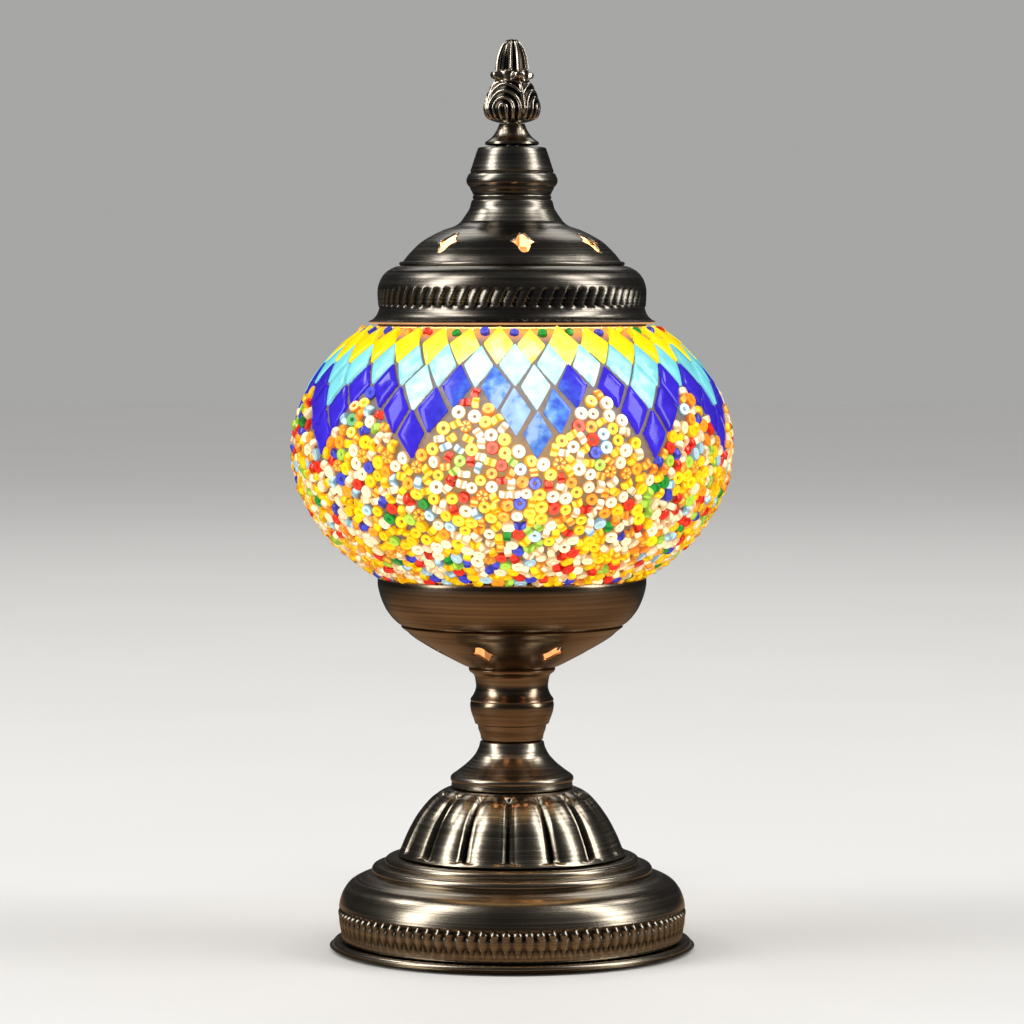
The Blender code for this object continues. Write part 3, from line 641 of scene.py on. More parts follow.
def gadroon_relief(outline, degrees):
    """A sunk band of leaves that lean to the right and lie over each other, each with a sharp right edge."""
    low, high = 190.6, 196.8
    lean, depth, crest = 0.72, 0.95, 0.80
    rise = np.clip((outline[:, 1] - low) / (high - low), 0, 1)[:, None]
    ends = smooth_step(rise * 10) * smooth_step((1 - rise) * 6)
    turn = (degrees[None, :] / 360 * GADROONS - lean * rise**1.2) % 1.0
    start = 0.30 * np.clip(1 - 2 * rise, 0, 1) ** 2
    across = np.clip((turn - start) / (1 - start), 0, 1)
    rising = np.sin(np.pi / 2 * across / crest)
    falling = np.cos(np.pi / 2 * (across - crest) / (1 - crest))
    leaf = np.where(across < crest, rising, falling)
    return -depth * ends * (1 - np.clip(leaf, 0, 1) ** 0.8)


def petal_relief(outline, degrees):
    """A sunk band of petals round the bowl's foot. Each has a bead for a head and a point below."""
    levels = [3.6, 5.0, 6.2, 7.8, 9.4, 10.6, 12.3, 12.9]
    depths = [0.0, 0.5, 0.95, 0.62, 0.6, 0.9, 0.8, 0.0]
    tip, head = 4.7, 11.0
    height = outline[:, 1][:, None]
    pitch = 2 * np.pi * outline[:, 0].max() / PETALS
    across = ((degrees[None, :] / 360 * PETALS) % 1.0 - 0.5) * pitch
    depth = np.interp(height, levels, depths)
    bead = np.sqrt(np.clip(1 - (across / 1.3) ** 2 - ((height - head) / 1.25) ** 2, 0, 1))
    half = np.interp(height, [tip, 5.5, 7.2, 8.6, 9.7], [0.05, 0.5, 1.05, 1.35, 1.1])
    leaf = 0.62 * ridge(across / half) * ((height > tip) & (height < 9.8))
    between = 0.5 * ridge((np.abs(across) - pitch / 2) / 0.55) * smooth_step((7.4 - height) / 1.6)
    return -depth * (1 - np.maximum(np.maximum(bead, leaf), between))


def flute_relief(outline, degrees):
    """Fifteen deep round flutes with arched tops and sharp valleys, each edged by a fine raised line."""
    flute_foot, flute_top = 28.5, 48.1
    line_at, line_wide, line_high = 0.80, 0.055, 0.32
    height = outline[:, 1][:, None]
    side = np.abs(2 * (((degrees[None, :] - FRONT_VALLEY) / 360 * FLUTES) % 1.0) - 1)
    top = smooth_step((flute_top - 0.9 * side**2 - height) / 0.7)
    foot = smooth_step((height - flute_foot - 0.8 * side**4) / 1.1)
    depth = 2.0 + 0.9 * smooth_step((47 - height) / 12)
    lobe = np.sqrt(np.clip(1 - (0.985 * side) ** 2, 0, 1)) ** 0.9
    edge = line_high * np.exp(-(((side - line_at) / line_wide) ** 2))
    return top * foot * (depth * (lobe - 1) + edge) + 0.1


def finial_relief(outline, degrees):
    """A ribbed bud over four curled leaf tips, and below them leaves drawn as nested arches."""
    bud_foot, bud_top = 260.0, 269.8
    curl_height, curl_wide, curl_high, curl_out = 259.2, 22, 1.05, 2.1
    arch_foot, arches = 249.2, 3.0
    leaf_foot, leaf_top = 245.4, 257.4
    vein_foot, vein_top, vein_wide = 247, 258.4, 4.5
    height = outline[:, 1][:, None]
    turn = degrees[None, :]
    rib = np.exp(-(((((turn + 36) / 30 + 0.5) % 1.0 - 0.5) / 0.15) ** 2))
    bud = (0.62 * rib - 0.25) * smooth_step((height - bud_foot) / 0.8) * smooth_step((bud_top - height) / 3.0)
    off = from_nearest(turn, 25, 4)
    curl = np.exp(-((off / curl_wide) ** 4))
    curl = curl * np.exp(-(((height - curl_height + 0.0012 * off**2) / curl_high) ** 4))
    across = np.abs(from_nearest(turn, -20, 4)) / 45
    rise = np.clip((height - arch_foot) / 8.0, 0, 1)
    arch = np.hypot(across, 1.3 * rise)
    groove = (0.5 + 0.5 * np.cos(2 * np.pi * (arch * arches - 0.5))) ** 0.7
    leaves = (groove - 0.75) * smooth_step((height - leaf_foot) / 1.2) * smooth_step(leaf_top - height)
    vein = 0.6 * np.exp(-((off / vein_wide) ** 2))
    vein = vein * smooth_step((height - vein_foot) / 2) * smooth_step(vein_top - height)
    return bud + curl_out * curl + np.maximum(leaves, vein - 0.2)


# ---- Metal pieces ----


def build_cap():
    bud = [(0.0, 270.1), (1.6, 269.4), (3.0, 267.2), (4.1, 264.2), (4.5, 261.4), (4.6, 259.6), (4.4, 257.8)]
    bulb = [(5.5, 256.8), (6.8, 254.2), (7.7, 251.6), (8.15, 249.3), (7.6, 247.1), (6.2, 245.8), (4.2, 245.1)]
    underside = [(3.9, 245.1), (0.0, 245.1)]
    finial = [*profile(bud, bulb), underside]
    lathe("finial_casting", finial, "finial", "finial_top", CAST, 360, 0.15, finial_relief)

    cone = profile(
        [(3.0, 244.8), (3.7, 244.8)],
        [(3.95, 244.2), (4.7, 242.6), (5.9, 240.9), (7.4, 239.7)],
        [(7.95, 239.3), (8.0, 238.9)],
        [(7.7, 238.5), (5.0, 238.2), (3.0, 238.2)],
        [(3.0, 244.8)],
    )
    lathe("finial_cone_washer", cone, "finial_cone", "finial_washer", BRONZE_BASE, 128, 0.3)

    barrel = profile(
        [(3.2, 237.9), (8.9, 237.9)],
        [(9.9, 237.7), (10.25, 237.1), (10.8, 235.6), (12.1, 231.6)],
        [(12.35, 231.0), (12.2, 230.5)],
        [(12.9, 229.9), (13.5, 228.5), (13.45, 227.5)],
        [(12.9, 226.6), (12.5, 226.3)],
        [(12.3, 225.6), (11.8, 224.8), (11.7, 224.2)],
        [(10.9, 224.2), (10.9, 226.0), (11.6, 228.0), (9.4, 236.9), (3.2, 236.9)],
    )
    lathe("cap_barrel_spun", barrel, "cap_barrel", "cap", BRONZE_DARK, 144, 0.35, reach=0.3)

    dome = profile(
        [(3.2, 223.9), (11.2, 223.9)],
        [(11.65, 223.3), (11.45, 222.4)],
        [(12.0, 221.9), (12.5, 220.0), (13.2, 218.7), (15.15, 215.9)],
        [(17.0, 214.6), (20.9, 213.2), (26.4, 210.2), (30.2, 206.7), (32.2, 204.2)],
        [(33.1, 204.0), (33.4, 203.4), (32.9, 202.9)],
        [(34.8, 202.5), (37.4, 200.9), (39.1, 198.4), (39.8, 195.4), (39.6, 191.2)],
        [(39.3, 190.4), (39.6, 189.4)],
        [(40.2, 188.2), (41.4, 187.0), (42.6, 186.4)],
        [(42.5, 186.3)],
    )
    lathe(
        "cap_dome_spun", dome, "cap_dome", "cap", BRONZE_DARK, GADROONS * 8, 0.42, gadroon_relief,
        vents=CAP_VENTS, inside=INNER_PAINTED_GLOW,
    )
    seat = straight((37.4, 187.1), (40.7, 187.1), (40.9, 186.4), (37.4, 186.4), (37.4, 187.1))
    ring("cap_seat", seat, "cap", INNER_PAINTED_GLOW, "antique_bronze")


def build_cup_and_stem():
    cup = profile(
        [(34.0, 110.9), (38.9, 110.9)],
        [(39.7, 110.6), (39.9, 109.9)],
        [(39.8, 108.0), (38.9, 104.6), (37.4, 101.3), (35.6, 98.8)],
        [(33.9, 97.2), (32.5, 96.5)],
        [(32.95, 96.1), (32.3, 95.5)],
        [(31.2, 94.7), (29.0, 92.8), (23.3, 89.3), (17.9, 86.4), (14.6, 84.7), (13.4, 84.2)],
        [(ROD_BORE, 84.2)],
    )
    lathe("cup_spun", cup, "cup", "lamp", BRONZE_WARM, 480, 0.42, vents=CUP_VENTS, inside=INNER_PAINTED_GLOW)

    stem = profile(
        [(ROD_BORE, 83.9), (12.9, 83.9)],
        [(13.2, 83.4), (12.8, 82.6)],
        [(11.6, 81.6), (11.1, 79.6), (11.0, 77.8), (11.6, 76.0), (12.5, 74.6)],
        [(12.7, 74.2), (12.5, 73.8)],
        [(12.75, 72.6), (12.4, 70.4), (11.6, 68.2), (11.2, 67.0)],
        [(10.5, 66.7), (10.4, 66.3)],
        [(10.2, 65.2), (9.7, 63.8), (9.4, 62.3)],
        [(8.6, 62.3), (8.6, 66.0), (ROD_BORE, 66.0)],
    )
    lathe("stem_spun", stem, "stem", "lamp", BRONZE_WARM, 144, 0.35)

    collar = profile(
        [(ROD_BORE, 62.0), (9.0, 62.0)],
        [(9.5, 61.7), (9.6, 61.2)],
        [(10.0, 59.8), (11.2, 57.6), (13.3, 55.3), (16.0, 53.1), (17.7, 51.9)],
        [(18.3, 51.2), (18.3, 50.2)],
        [(18.0, 49.8), (18.1, 48.6), (17.9, 48.3)],
        [(17.0, 48.3), (17.0, 50.4), (9.0, 57.5), (ROD_BORE, 57.5)],
    )
    lathe("collar_spun", collar, "collar", "lamp", BRONZE_BASE, 144, 0.35)


def build_base():
    flutes = profile(
        [(ROD_BORE, 48.0), (17.6, 48.0)],
        [(19.6, 47.6), (23.6, 45.3), (27.9, 40.3), (30.9, 35.0), (32.8, 30.6), (33.5, 29.1),
         (33.9, 28.3)],
        [(32.0, 27.9), (29.0, 29.0), (22.0, 37.5), (14.0, 43.0), (ROD_BORE, 43.0)],
    )
    lathe("fluted_dome_spun", flutes, "fluted_dome", "lamp", BRONZE_BASE, FLUTES * 40, 0.35, flute_relief)

    bowl = profile(
        [(ROD_BORE, 27.7), (34.3, 27.7)],
        [(35.2, 27.6), (36.4, 27.7), (37.5, 27.1), (37.9, 26.0), (37.6, 25.2)],
        [(38.2, 25.2), (39.8, 25.4), (41.2, 24.9), (41.8, 23.7), (41.5, 22.6)],
        [(42.6, 22.3), (45.6, 21.3), (48.3, 19.7), (50.2, 17.2), (51.2, 14.6), (51.5, 13.0)],
        [(51.8, 11.2), (51.8, 8.6), (51.5, 6.0), (51.0, 4.2)],
        [(50.8, 3.4), (50.6, 2.9)],
        [(49.6, 2.9), (50.6, 9.0), (48.6, 17.0), (41.0, 21.4), (34.0, 26.6), (ROD_BORE, 26.6)],
    )
    lathe("base_bowl_spun", bowl, "base_bowl", "lamp", BRONZE_BASE, PETALS * 8, 0.42, petal_relief)

    plate = profile(
        [(0.0, 2.6), (51.2, 2.6)],
        [(52.3, 2.75), (53.4, 2.8), (54.1, 2.3), (54.3, 1.6), (53.9, 0.9), (53.1, 0.5),
         (52.3, 0.8)],
        [(51.6, 1.5), (0.0, 1.5)],
    )
    lathe("base_plate_rolled", plate, "base_plate", "lamp", BRONZE_BASE, 240, 0.4)


# ---- Mosaic ----


def solids(name, made, materials, body, nodes, slot=None):
    """One piece from many small solids, each a (points, faces, material index)."""
    points, faces, kinds, first = [], [], [], 0
    for some, quads, kind in made:
        points.append(some)
        faces += [tuple(first + i for i in quad) for quad in quads]
        kinds += [kind] * len(quads)
        first += len(some)
    mesh = mesh_of(name, np.concatenate(points), faces, 40)
    mesh.polygons.foreach_set("material_index", kinds)
    return piece(name, mesh, materials, body, *nodes, slot=slot)


def side_angle(latitude, width):
    """The angle that a width in mm covers at a latitude."""
    return np.degrees(width / ((GLOBE_RADIUS + 1) * np.cos(np.radians(latitude))))


ALONG_LATITUDE = 180 / math.pi / (GLOBE_HALF + 8)  # degrees of latitude for a mm up the globe


def tile(latitude, angle, draw):
    """A rhombus of glass on the globe: straight sides, a bevelled face and corners cut by hand."""
    tilt = math.radians(draw.gauss(0, 1.6))
    wide = (TILE_WIDTH - TILE_GAP) / 2 * draw.uniform(0.94, 1.04)
    tall = (TILE_HEIGHT - TILE_GAP) / 2 * draw.uniform(0.95, 1.03)
    corners = [(wide, 0), (0, tall), (-wide, 0), (0, -tall)]
    corners = [(x + draw.gauss(0, 0.14), y + draw.gauss(0, 0.16)) for x, y in corners]
    rim = []
    for (x0, y0), (x1, y1) in zip(corners, corners[1:] + corners[:1]):
        for share in (0.04, 0.35, 0.65, 0.96):
            rim.append((x0 + (x1 - x0) * share, y0 + (y1 - y0) * share))
    rim = np.array(rim)
    rim = rim @ np.array([[math.cos(tilt), math.sin(tilt)], [-math.sin(tilt), math.cos(tilt)]])
    high = TILE_HIGH + draw.gauss(0, 0.12)
    slope = np.array([draw.gauss(0, 0.02), draw.gauss(0, 0.02)])
    levels = [(1.0, 0.15), (1.0, high - 0.26), (0.985, high - 0.08), (0.955, high), (0.5, high + 0.05)]
    points = []
    for scale, proud in levels:
        flat = rim * scale
        lat = latitude + flat[:, 1] * ALONG_LATITUDE
        turn = angle + side_angle(latitude, flat[:, 0])
        base, normal = on_globe(lat, turn, 0.0)
        points.append(base + normal * (proud + (flat @ slope) * (proud > 1))[:, None])
    count = len(rim)
    centre, normal = on_globe(np.array(float(latitude)), np.array(float(angle)), 0.0)
    points = np.concatenate([*points, (centre + normal * (high + 0.07))[None]])
    faces = []
    for level in range(len(levels) - 1):
        this, above = level * count, (level + 1) * count
        for i in range(count):
            j = (i + 1) % count
            faces.append((this + i, this + j, above + j, above + i))
    last = (len(levels) - 1) * count
    faces += [(last + i, last + (i + 1) % count, len(points) - 1) for i in range(count)]
    faces.append(tuple(reversed(range(count))))
    return points, faces


def tile_rows():
    """(row name, latitude, columns from the blue point's line) for one repeat of the pattern."""
    return [
        ("yellow", YELLOW_ROW, (-1, 0, 1)),
        ("aqua", YELLOW_ROW - ROW_PITCH, (-0.5, 0.5, 1.5)),
        ("blue", YELLOW_ROW - 2 * ROW_PITCH, (-1, 1)),
        ("aqua", YELLOW_ROW - 2 * ROW_PITCH, (0,)),
        ("blue", YELLOW_ROW - 3 * ROW_PITCH, (-0.5, 0.5)),
        ("blue", YELLOW_ROW - 4 * ROW_PITCH, (0,)),
    ]


def build_tiles():
    draw = random.Random(11)
    materials = {
        "yellow": lit_glass(
            "yellow_tile", (1.0, 0.80, 0.005), (0.80, 0.46, 0.0), (1.0, 0.98, 0.42),
            glow=(0.8, 1.02), mottle=0.12, scale=260.0, shine=0.25, spot_power=10.0,
        ),
        "aqua": lit_glass(
            "aqua_tile", (0.25, 0.74, 0.78), (0.05, 0.42, 0.50), (0.85, 1.0, 0.98),
            glow=(0.65, 1.0), mottle=0.35, scale=260.0, shine=0.25, spot_power=4.0,
        ),
        "blue": lit_glass(
            "blue_tile", (0.05, 0.025, 0.66), (0.008, 0.004, 0.20), (0.16, 0.78, 0.95),
            glow=(0.6, 1.0), mottle=0.4, scale=320.0, spot_power=45.0, white=0.5,
        ),
    }
    made = {colour: [] for colour in materials}
    for point in range(POINTS):
        middle = FRONT_POINT + point * 360 / POINTS + draw.gauss(0, 0.15)
        for colour, latitude, columns in tile_rows():
            for column in columns:
                angle = middle + column * 360 / COLUMNS + draw.gauss(0, 0.12)
                points, faces = tile(latitude + draw.gauss(0, 0.15), angle, draw)
                made[colour].append((points, faces, 0))
    for colour, solid in made.items():
        solids(colour + "_rhombs", solid, [materials[colour]], "globe", [colour + "_tiles"])


def bead_ring(draw, on_side):
    """Points and faces of one seed bead about the origin, with its hole along Z."""
    outer = BEAD_RADIUS * draw.uniform(0.85, 1.08) * (0.94 if on_side else 1.0)
    half = BEAD_HEIGHT / 2 * draw.uniform(0.88, 1.08)
    hole = BEAD_HOLE * draw.uniform(0.8, 1.25)
    middle, thick = (outer + hole) / 2, (outer - hole) / 2
    section = np.radians(np.arange(8) * 45 + 22.5)
    radius = middle + thick * np.sign(np.cos(section)) * np.abs(np.cos(section)) ** 0.5
    height = half * np.sign(np.sin(section)) * np.abs(np.sin(section)) ** 0.5
    turn = np.arange(BEAD_STEPS) * 2 * np.pi / BEAD_STEPS
    points = np.stack(
        [np.outer(np.cos(turn), radius), np.outer(np.sin(turn), radius), np.tile(height, (BEAD_STEPS, 1))], -1
    ).reshape(-1, 3)
    faces = []
    for i in range(BEAD_STEPS):
        for j in range(8):
            a, b = i * 8, (i + 1) % BEAD_STEPS * 8
            k = (j + 1) % 8
            faces.append((a + j, b + j, b + k, a + k))
    return points, faces


def bead_ceiling(angle):
    """The latitude under the zigzag of blue tiles, less a bead's radius."""
    turn = (angle - FRONT_POINT) / 360 * POINTS
    share = np.abs(turn - np.round(turn)) * 2
    tip = YELLOW_ROW - 5 * ROW_PITCH - 2.6
    notch = YELLOW_ROW - 2 * ROW_PITCH - 1.9
    return tip + (notch - tip) * np.clip((share - 0.04) / 0.94, 0, 1)


def spread_out(points, room):
    """Which points stay when each is kept only if its room doesn't overlap that of any one kept before."""
    size = 2 * room.max()
    cells, kept = {}, []
    near = [(i, j, k) for i in (-1, 0, 1) for j in (-1, 0, 1) for k in (-1, 0, 1)]
    places, rooms = points.tolist(), room.tolist()
    for index, (x, y, z) in enumerate(np.floor(points / size).astype(int).tolist()):
        found = (other for i, j, k in near for other in cells.get((x + i, y + j, z + k), ()))
        if all(math.dist(places[index], places[other]) > rooms[index] + rooms[other] for other in found):
            cells.setdefault((x, y, z), []).append(index)
            kept.append(index)
    return kept


def scatter_beads():
    """(latitude, angle, whether on its side) of each bead: a random scatter that fills the field."""
    rng = np.random.default_rng(5)
    latitude = rng.uniform(BEAD_FOOT_LATITUDE, BEAD_TOP_LATITUDE, BEAD_TRIES)
    angle = rng.uniform(-180, 180, BEAD_TRIES)
    on_side = rng.random(BEAD_TRIES) < BEADS_ON_SIDE
    inside = latitude < bead_ceiling(angle)
    latitude, angle, on_side = latitude[inside], angle[inside], on_side[inside]
    room = np.where(on_side, BEAD_SIDE_ROOM, BEAD_ROOM)
    kept = spread_out(on_globe(latitude, angle, BEAD_LEVEL)[0], room * BEAD_CROWDING)
    latitude, angle, on_side, room = latitude[kept], angle[kept], on_side[kept], room[kept]
    for _ in range(BEAD_PUSHES):
        points, _ = on_globe(latitude, angle, BEAD_LEVEL)
        tree = KDTree(len(points))
        for index, point in enumerate(points):
            tree.insert(point, index)
        tree.balance()
        push = np.zeros_like(points)
        for index, point in enumerate(points):
            for at, other, gap in tree.find_range(point, 2 * BEAD_ROOM):
                short = room[index] + room[other] - gap
                if other != index and gap > 1e-6 and short > 0:
                    push[index] += (point - np.array(at)) / gap * short * 0.4
        moved = points + push
        angle = np.degrees(np.arctan2(moved[:, 0], -moved[:, 1]))
        radial = np.hypot(moved[:, 0], moved[:, 1]) / (GLOBE_RADIUS + BEAD_LEVEL)
        latitude = np.degrees(np.arctan2((moved[:, 2] - GLOBE_CENTRE) / (GLOBE_HALF + BEAD_LEVEL), radial))
        latitude = np.clip(latitude, BEAD_FOOT_LATITUDE, bead_ceiling(angle))
    return latitude, angle, on_side


def bead_lines_and_shade(colour, on_side):
    """How deep the glass looks at each point of a bead. Painted shade darkens its outline and round its hole,
    and on a bead that lies on its side, its ends, half its round side and a line along its hole. Striped
    beads have more lines."""
    section = np.arange(8)
    turn = np.arange(BEAD_STEPS)
    if on_side:
        lines = (1, 3, 5) if colour == "striped" else (3,)
        along = np.isin(turn, lines) * 1.0
        along[np.sin(2 * np.pi * turn / BEAD_STEPS) < 0.3] = 0.8
        ends = np.array([0.0, 0.6, 0.9, 0.9, 0.9, 0.9, 0.6, 0.0])
        return np.maximum(along[:, None], ends[section][None, :]).ravel()
    face = np.array([1.0, 0.25, 0.0, 0.45, 0.45, 0.0, 0.25, 1.0])
    lines = (turn % 2) * 1.0 if colour == "striped" else np.zeros(BEAD_STEPS)
    return np.maximum(lines[:, None], face[None, :]).ravel()


def build_beads():
    draw = random.Random(23)
    scattered = scatter_beads()
    names = list(BEAD_COLOURS)
    shares = [BEAD_COLOURS[n][0] for n in names]
    places = [(lat, turn, lies, draw.choices(names, shares)[0], 1.0) for lat, turn, lies in zip(*scattered)]
    notch_row = YELLOW_ROW + 6.2
    for column in range(COLUMNS):
        turn = FRONT_POINT + (column + 0.5) * 360 / COLUMNS + draw.gauss(0, 0.6)
        colour = draw.choice(["red", "cobalt", "green", "yellow", "amber"])
        places.append((notch_row + draw.gauss(0, 0.4), turn, draw.random() < BEADS_ON_SIDE, colour, 0.8))
    made = {n: [] for n in names}
    lines_and_shade = {n: [] for n in names}
    for lat, turn, on_side, colour, size in places:
        points, faces = bead_ring(draw, on_side)
        lines_and_shade[colour].append(bead_lines_and_shade(colour, on_side))
        spin = draw.uniform(0, 2 * math.pi)
        if on_side:
            points = points @ np.array(Matrix.Rotation(math.pi / 2, 3, "X")).T
        points = points @ np.array(Matrix.Rotation(spin, 3, "Z")).T
        lean = Matrix.Rotation(draw.gauss(0, 0.14), 3, "X") @ Matrix.Rotation(draw.gauss(0, 0.14), 3, "Y")
        points = points @ np.array(lean).T * size
        spot, normal = on_globe(np.array(float(lat)), np.array(float(turn)), 0.0)
        upright = np.array(Vector(normal).to_track_quat("Z", "Y").to_matrix())
        high = (BEAD_SIDE_LEVEL if on_side else BEAD_LEVEL) + draw.gauss(0, 0.14)
        made[colour].append((points @ upright.T + spot + normal * high, faces, 0))
    for colour, solid in made.items():
        _, shade, deep, pale = BEAD_COLOURS[colour]
        look = lit_glass(
            "bead_" + colour, shade, deep, pale, glow=(0.88, 1.3), mottle=0.3, shine=0.5, spot_power=9.0,
            white=0.12, rim=(0.3, 0.85), striped=True,
        )
        nodes = ["bead_field"] if colour == "yellow" else []
        made_piece = solids("beads_" + colour, solid, [look], "globe", nodes, "bead_glass")
        store(made_piece.data, "stripe_and_shade", np.concatenate(lines_and_shade[colour]))


def adhesive(name):
    """The brown cement between the glass pieces, with the bulb's light through it painted in as a glow:
    warmer among the beads, brighter in front of the bulb, and a painted orange glow next to the cap.
    """
    look = Look(name, glows=True)
    spot, wide = hot_spot(look, 7.0), hot_spot(look, WIDE_SPOT)
    lumps = look.noise(450.0, 5.0)
    height = look.node("SeparateXYZ", Vector=look.position()).outputs[2]
    _, _, top = extent("globe_glass")
    # Painted light: an orange glow along the top, next to the cap
    rim = look.remap(height, (top - 4.0) * MM, (top - 1.0) * MM)
    bead_zone = look.remap(height, (GLOBE_CENTRE + 14) * MM, (GLOBE_CENTRE - 4) * MM)
    # Painted light: grey among the tiles, orange among the beads, brighter where the bulb lies behind
    cool = look.mix(spot, (0.13, 0.10, 0.10), (0.42, 0.34, 0.28))
    colour = look.mix(bead_zone, cool, look.mix(spot, (0.22, 0.10, 0.035), (0.80, 0.44, 0.10)))
    colour = look.mix(look.times(lumps, 0.6), colour, (0.10, 0.06, 0.06))
    colour = look.mix(rim, colour, (1.0, 0.30, 0.03))
    return look.set(
        Base_Color=look.mix(lumps, (0.08, 0.065, 0.06), (0.14, 0.11, 0.10)),
        Roughness=look.remap(lumps, 0.3, 0.7, 0.4, 0.65),
        Emission_Color=colour,
        Emission_Strength=look.plus(look.remap(wide, 0.0, 1.0, 0.5, 0.95), look.times(rim, 0.6)),
        Normal=look.bump(lumps, 0.4),
    )


def build_glass():
    """The glass blank, and on it the bed of cement that the tiles and beads sit in.

    The blank is seen with the cap off or the globe lifted. It is milky, and the bulb's light in it is painted
    in as an orange glow.
    """
    rise = np.radians(np.linspace(TOP_LATITUDE, FOOT_LATITUDE, 60))
    outer = np.stack([GLOBE_RADIUS * np.cos(rise), GLOBE_CENTRE + GLOBE_HALF * np.sin(rise)], -1)
    inner = outer[::-1] - normals_2d(outer)[::-1] * GLASS_WALL
    outer, inner = outer.tolist(), inner.tolist()
    milky = cloudy(
        "frosted_glass", 140.0, 5.0, ((0.55, 0.42, 0.28), (0.66, 0.54, 0.38)), (0.25, 0.45),
        ((1.0, 0.36, 0.07), (1.0, 0.50, 0.16)), 0.1, Emission_Strength=0.5,
    )
    blank = profile(outer, inner[:1], inner[1:], outer[:1])
    lathe("globe_blank", blank, "globe_glass", "globe", milky, 160, 3.0, sharp=50)

    rows, columns = 110, 360
    latitude = np.linspace(TOP_LATITUDE - 0.4, FOOT_LATITUDE + 1.0, rows)
    grid_lat, grid_turn = np.meshgrid(latitude, np.arange(columns) * 360 / columns, indexing="ij")
    rng = np.random.default_rng(3)
    proud = BED_HIGH + 0.16 * rng.standard_normal(grid_lat.shape)
    proud *= np.clip((TOP_LATITUDE - grid_lat) / 8, 0.1, 1) * np.clip((grid_lat - FOOT_LATITUDE) / 4, 0.1, 1)
    points, normal = on_globe(grid_lat, grid_turn, 0.0)
    points = points + normal * np.clip(proud, 0.1, 2.2)[..., None]
    mesh = mesh_of("adhesive_bed", points.reshape(-1, 3), surface_faces(rows, columns))
    bed = piece("adhesive_bed", mesh, [adhesive("adhesive")], "globe", slot="bead_glass")
    close = bed.modifiers.new("depth", "SOLIDIFY")
    close.thickness = 0.05 * MM
    close.offset = -1


# ---- Inside, and the cord ----


def build_bulb():
    envelope = profile(
        [(0, 177.0), (4.5, 176.3), (9.3, 173.0), (12.3, 168.0), (13.0, 162.0), (11.9, 155.0), (9.0, 147.5),
         (7.2, 141.6)],
        [(6.4, 141.6)],
        [(8.2, 147.5), (11.1, 155.0), (12.2, 162.0), (11.5, 168.0), (8.7, 172.5), (4.2, 175.6),
         (0, 176.3)],
    )
    look = Look("lit_bulb", glows=True)
    cloud = look.noise(60.0, 3.0)
    edge = look.remap(look.node("LayerWeight", Blend=0.5).outputs["Facing"], 0.35, 1.0)
    base = look.mix(cloud, (0.9, 0.82, 0.7), (1.0, 0.9, 0.75))
    roughness = look.remap(cloud, 0.3, 0.7, 0.1, 0.25)
    core = look.mix(cloud, (1.0, 0.88, 0.62), (1.0, 0.95, 0.78))
    look.set(
        Base_Color=base,
        Roughness=roughness,
        Emission_Color=look.mix(edge, core, (1.0, 0.52, 0.18)),
        Emission_Strength=1.15,
    )
    lathe("bulb_glass", envelope, "bulb_envelope", "bulb", look.material, 64, 0.8)

    turns, steps, pitch, depth = 5, 8, 2.6, 0.35
    thread = 5.9
    front = [(7.2, 141.4), (6.6, 140.0), (thread, 138.9)]
    for step in range(turns * steps + 1):
        radius = thread - depth / 2 + depth / 2 * math.cos(2 * math.pi * step / steps)
        front.append((radius, 138.6 - step / steps * pitch))
    front.append((5.2, 124.6))
    back = [(5.0, 124.6), (5.4, 126.0), (5.4, 138.9), (7.0, 141.4)]
    screw_cap = profile(front, back[:1], back[1:], front[:1])
    lathe("bulb_screw_cap", screw_cap, "bulb_cap", "bulb", BRASS, 64, 0.3)


def dress_cad_nodes():
    """Materials for the CAD nodes that stay, and rounding for those that the CAD leaves faceted."""
    looks = {
        "cast_iron": IRON,
        "zinc_steel": STEEL,
        "brass": BRASS,
        "clear_glass": GLASS,
        "rubber": RUBBER,
        "felt": FELT,
        "phenolic": BLACK,
        "ceramic": CERAMIC,
        "black_plastic": BLACK,
        "antique_bronze": BRONZE_BASE,
    }
    for name, obj in frame["nodes"].items():
        look = looks.get(SLOT_OF[name])
        if obj.hide_render or look is None:
            continue
        obj.data.materials.clear()
        obj.data.materials.append(look)
        shade_softly(obj, BEVELS.get(name, 0.0), name.startswith("cord_"))


def shade_softly(obj, bevel, swept):
    """Rounds a CAD node's facets with modifiers: its mesh keeps its shape."""
    obj.data.shade_smooth()
    obj.modifiers.new("weld", "WELD").merge_threshold = 1e-5
    if swept:
        rounding = obj.modifiers.new("rounding", "SUBSURF")
        rounding.levels = rounding.render_levels = 2
        return
    if bevel:
        edge = obj.modifiers.new("edges", "BEVEL")
        edge.width = bevel * MM
        edge.segments = 3
        edge.limit_method = "ANGLE"
        edge.angle_limit = math.radians(40)
    split = obj.modifiers.new("creases", "EDGE_SPLIT")
    split.split_angle = math.radians(38)


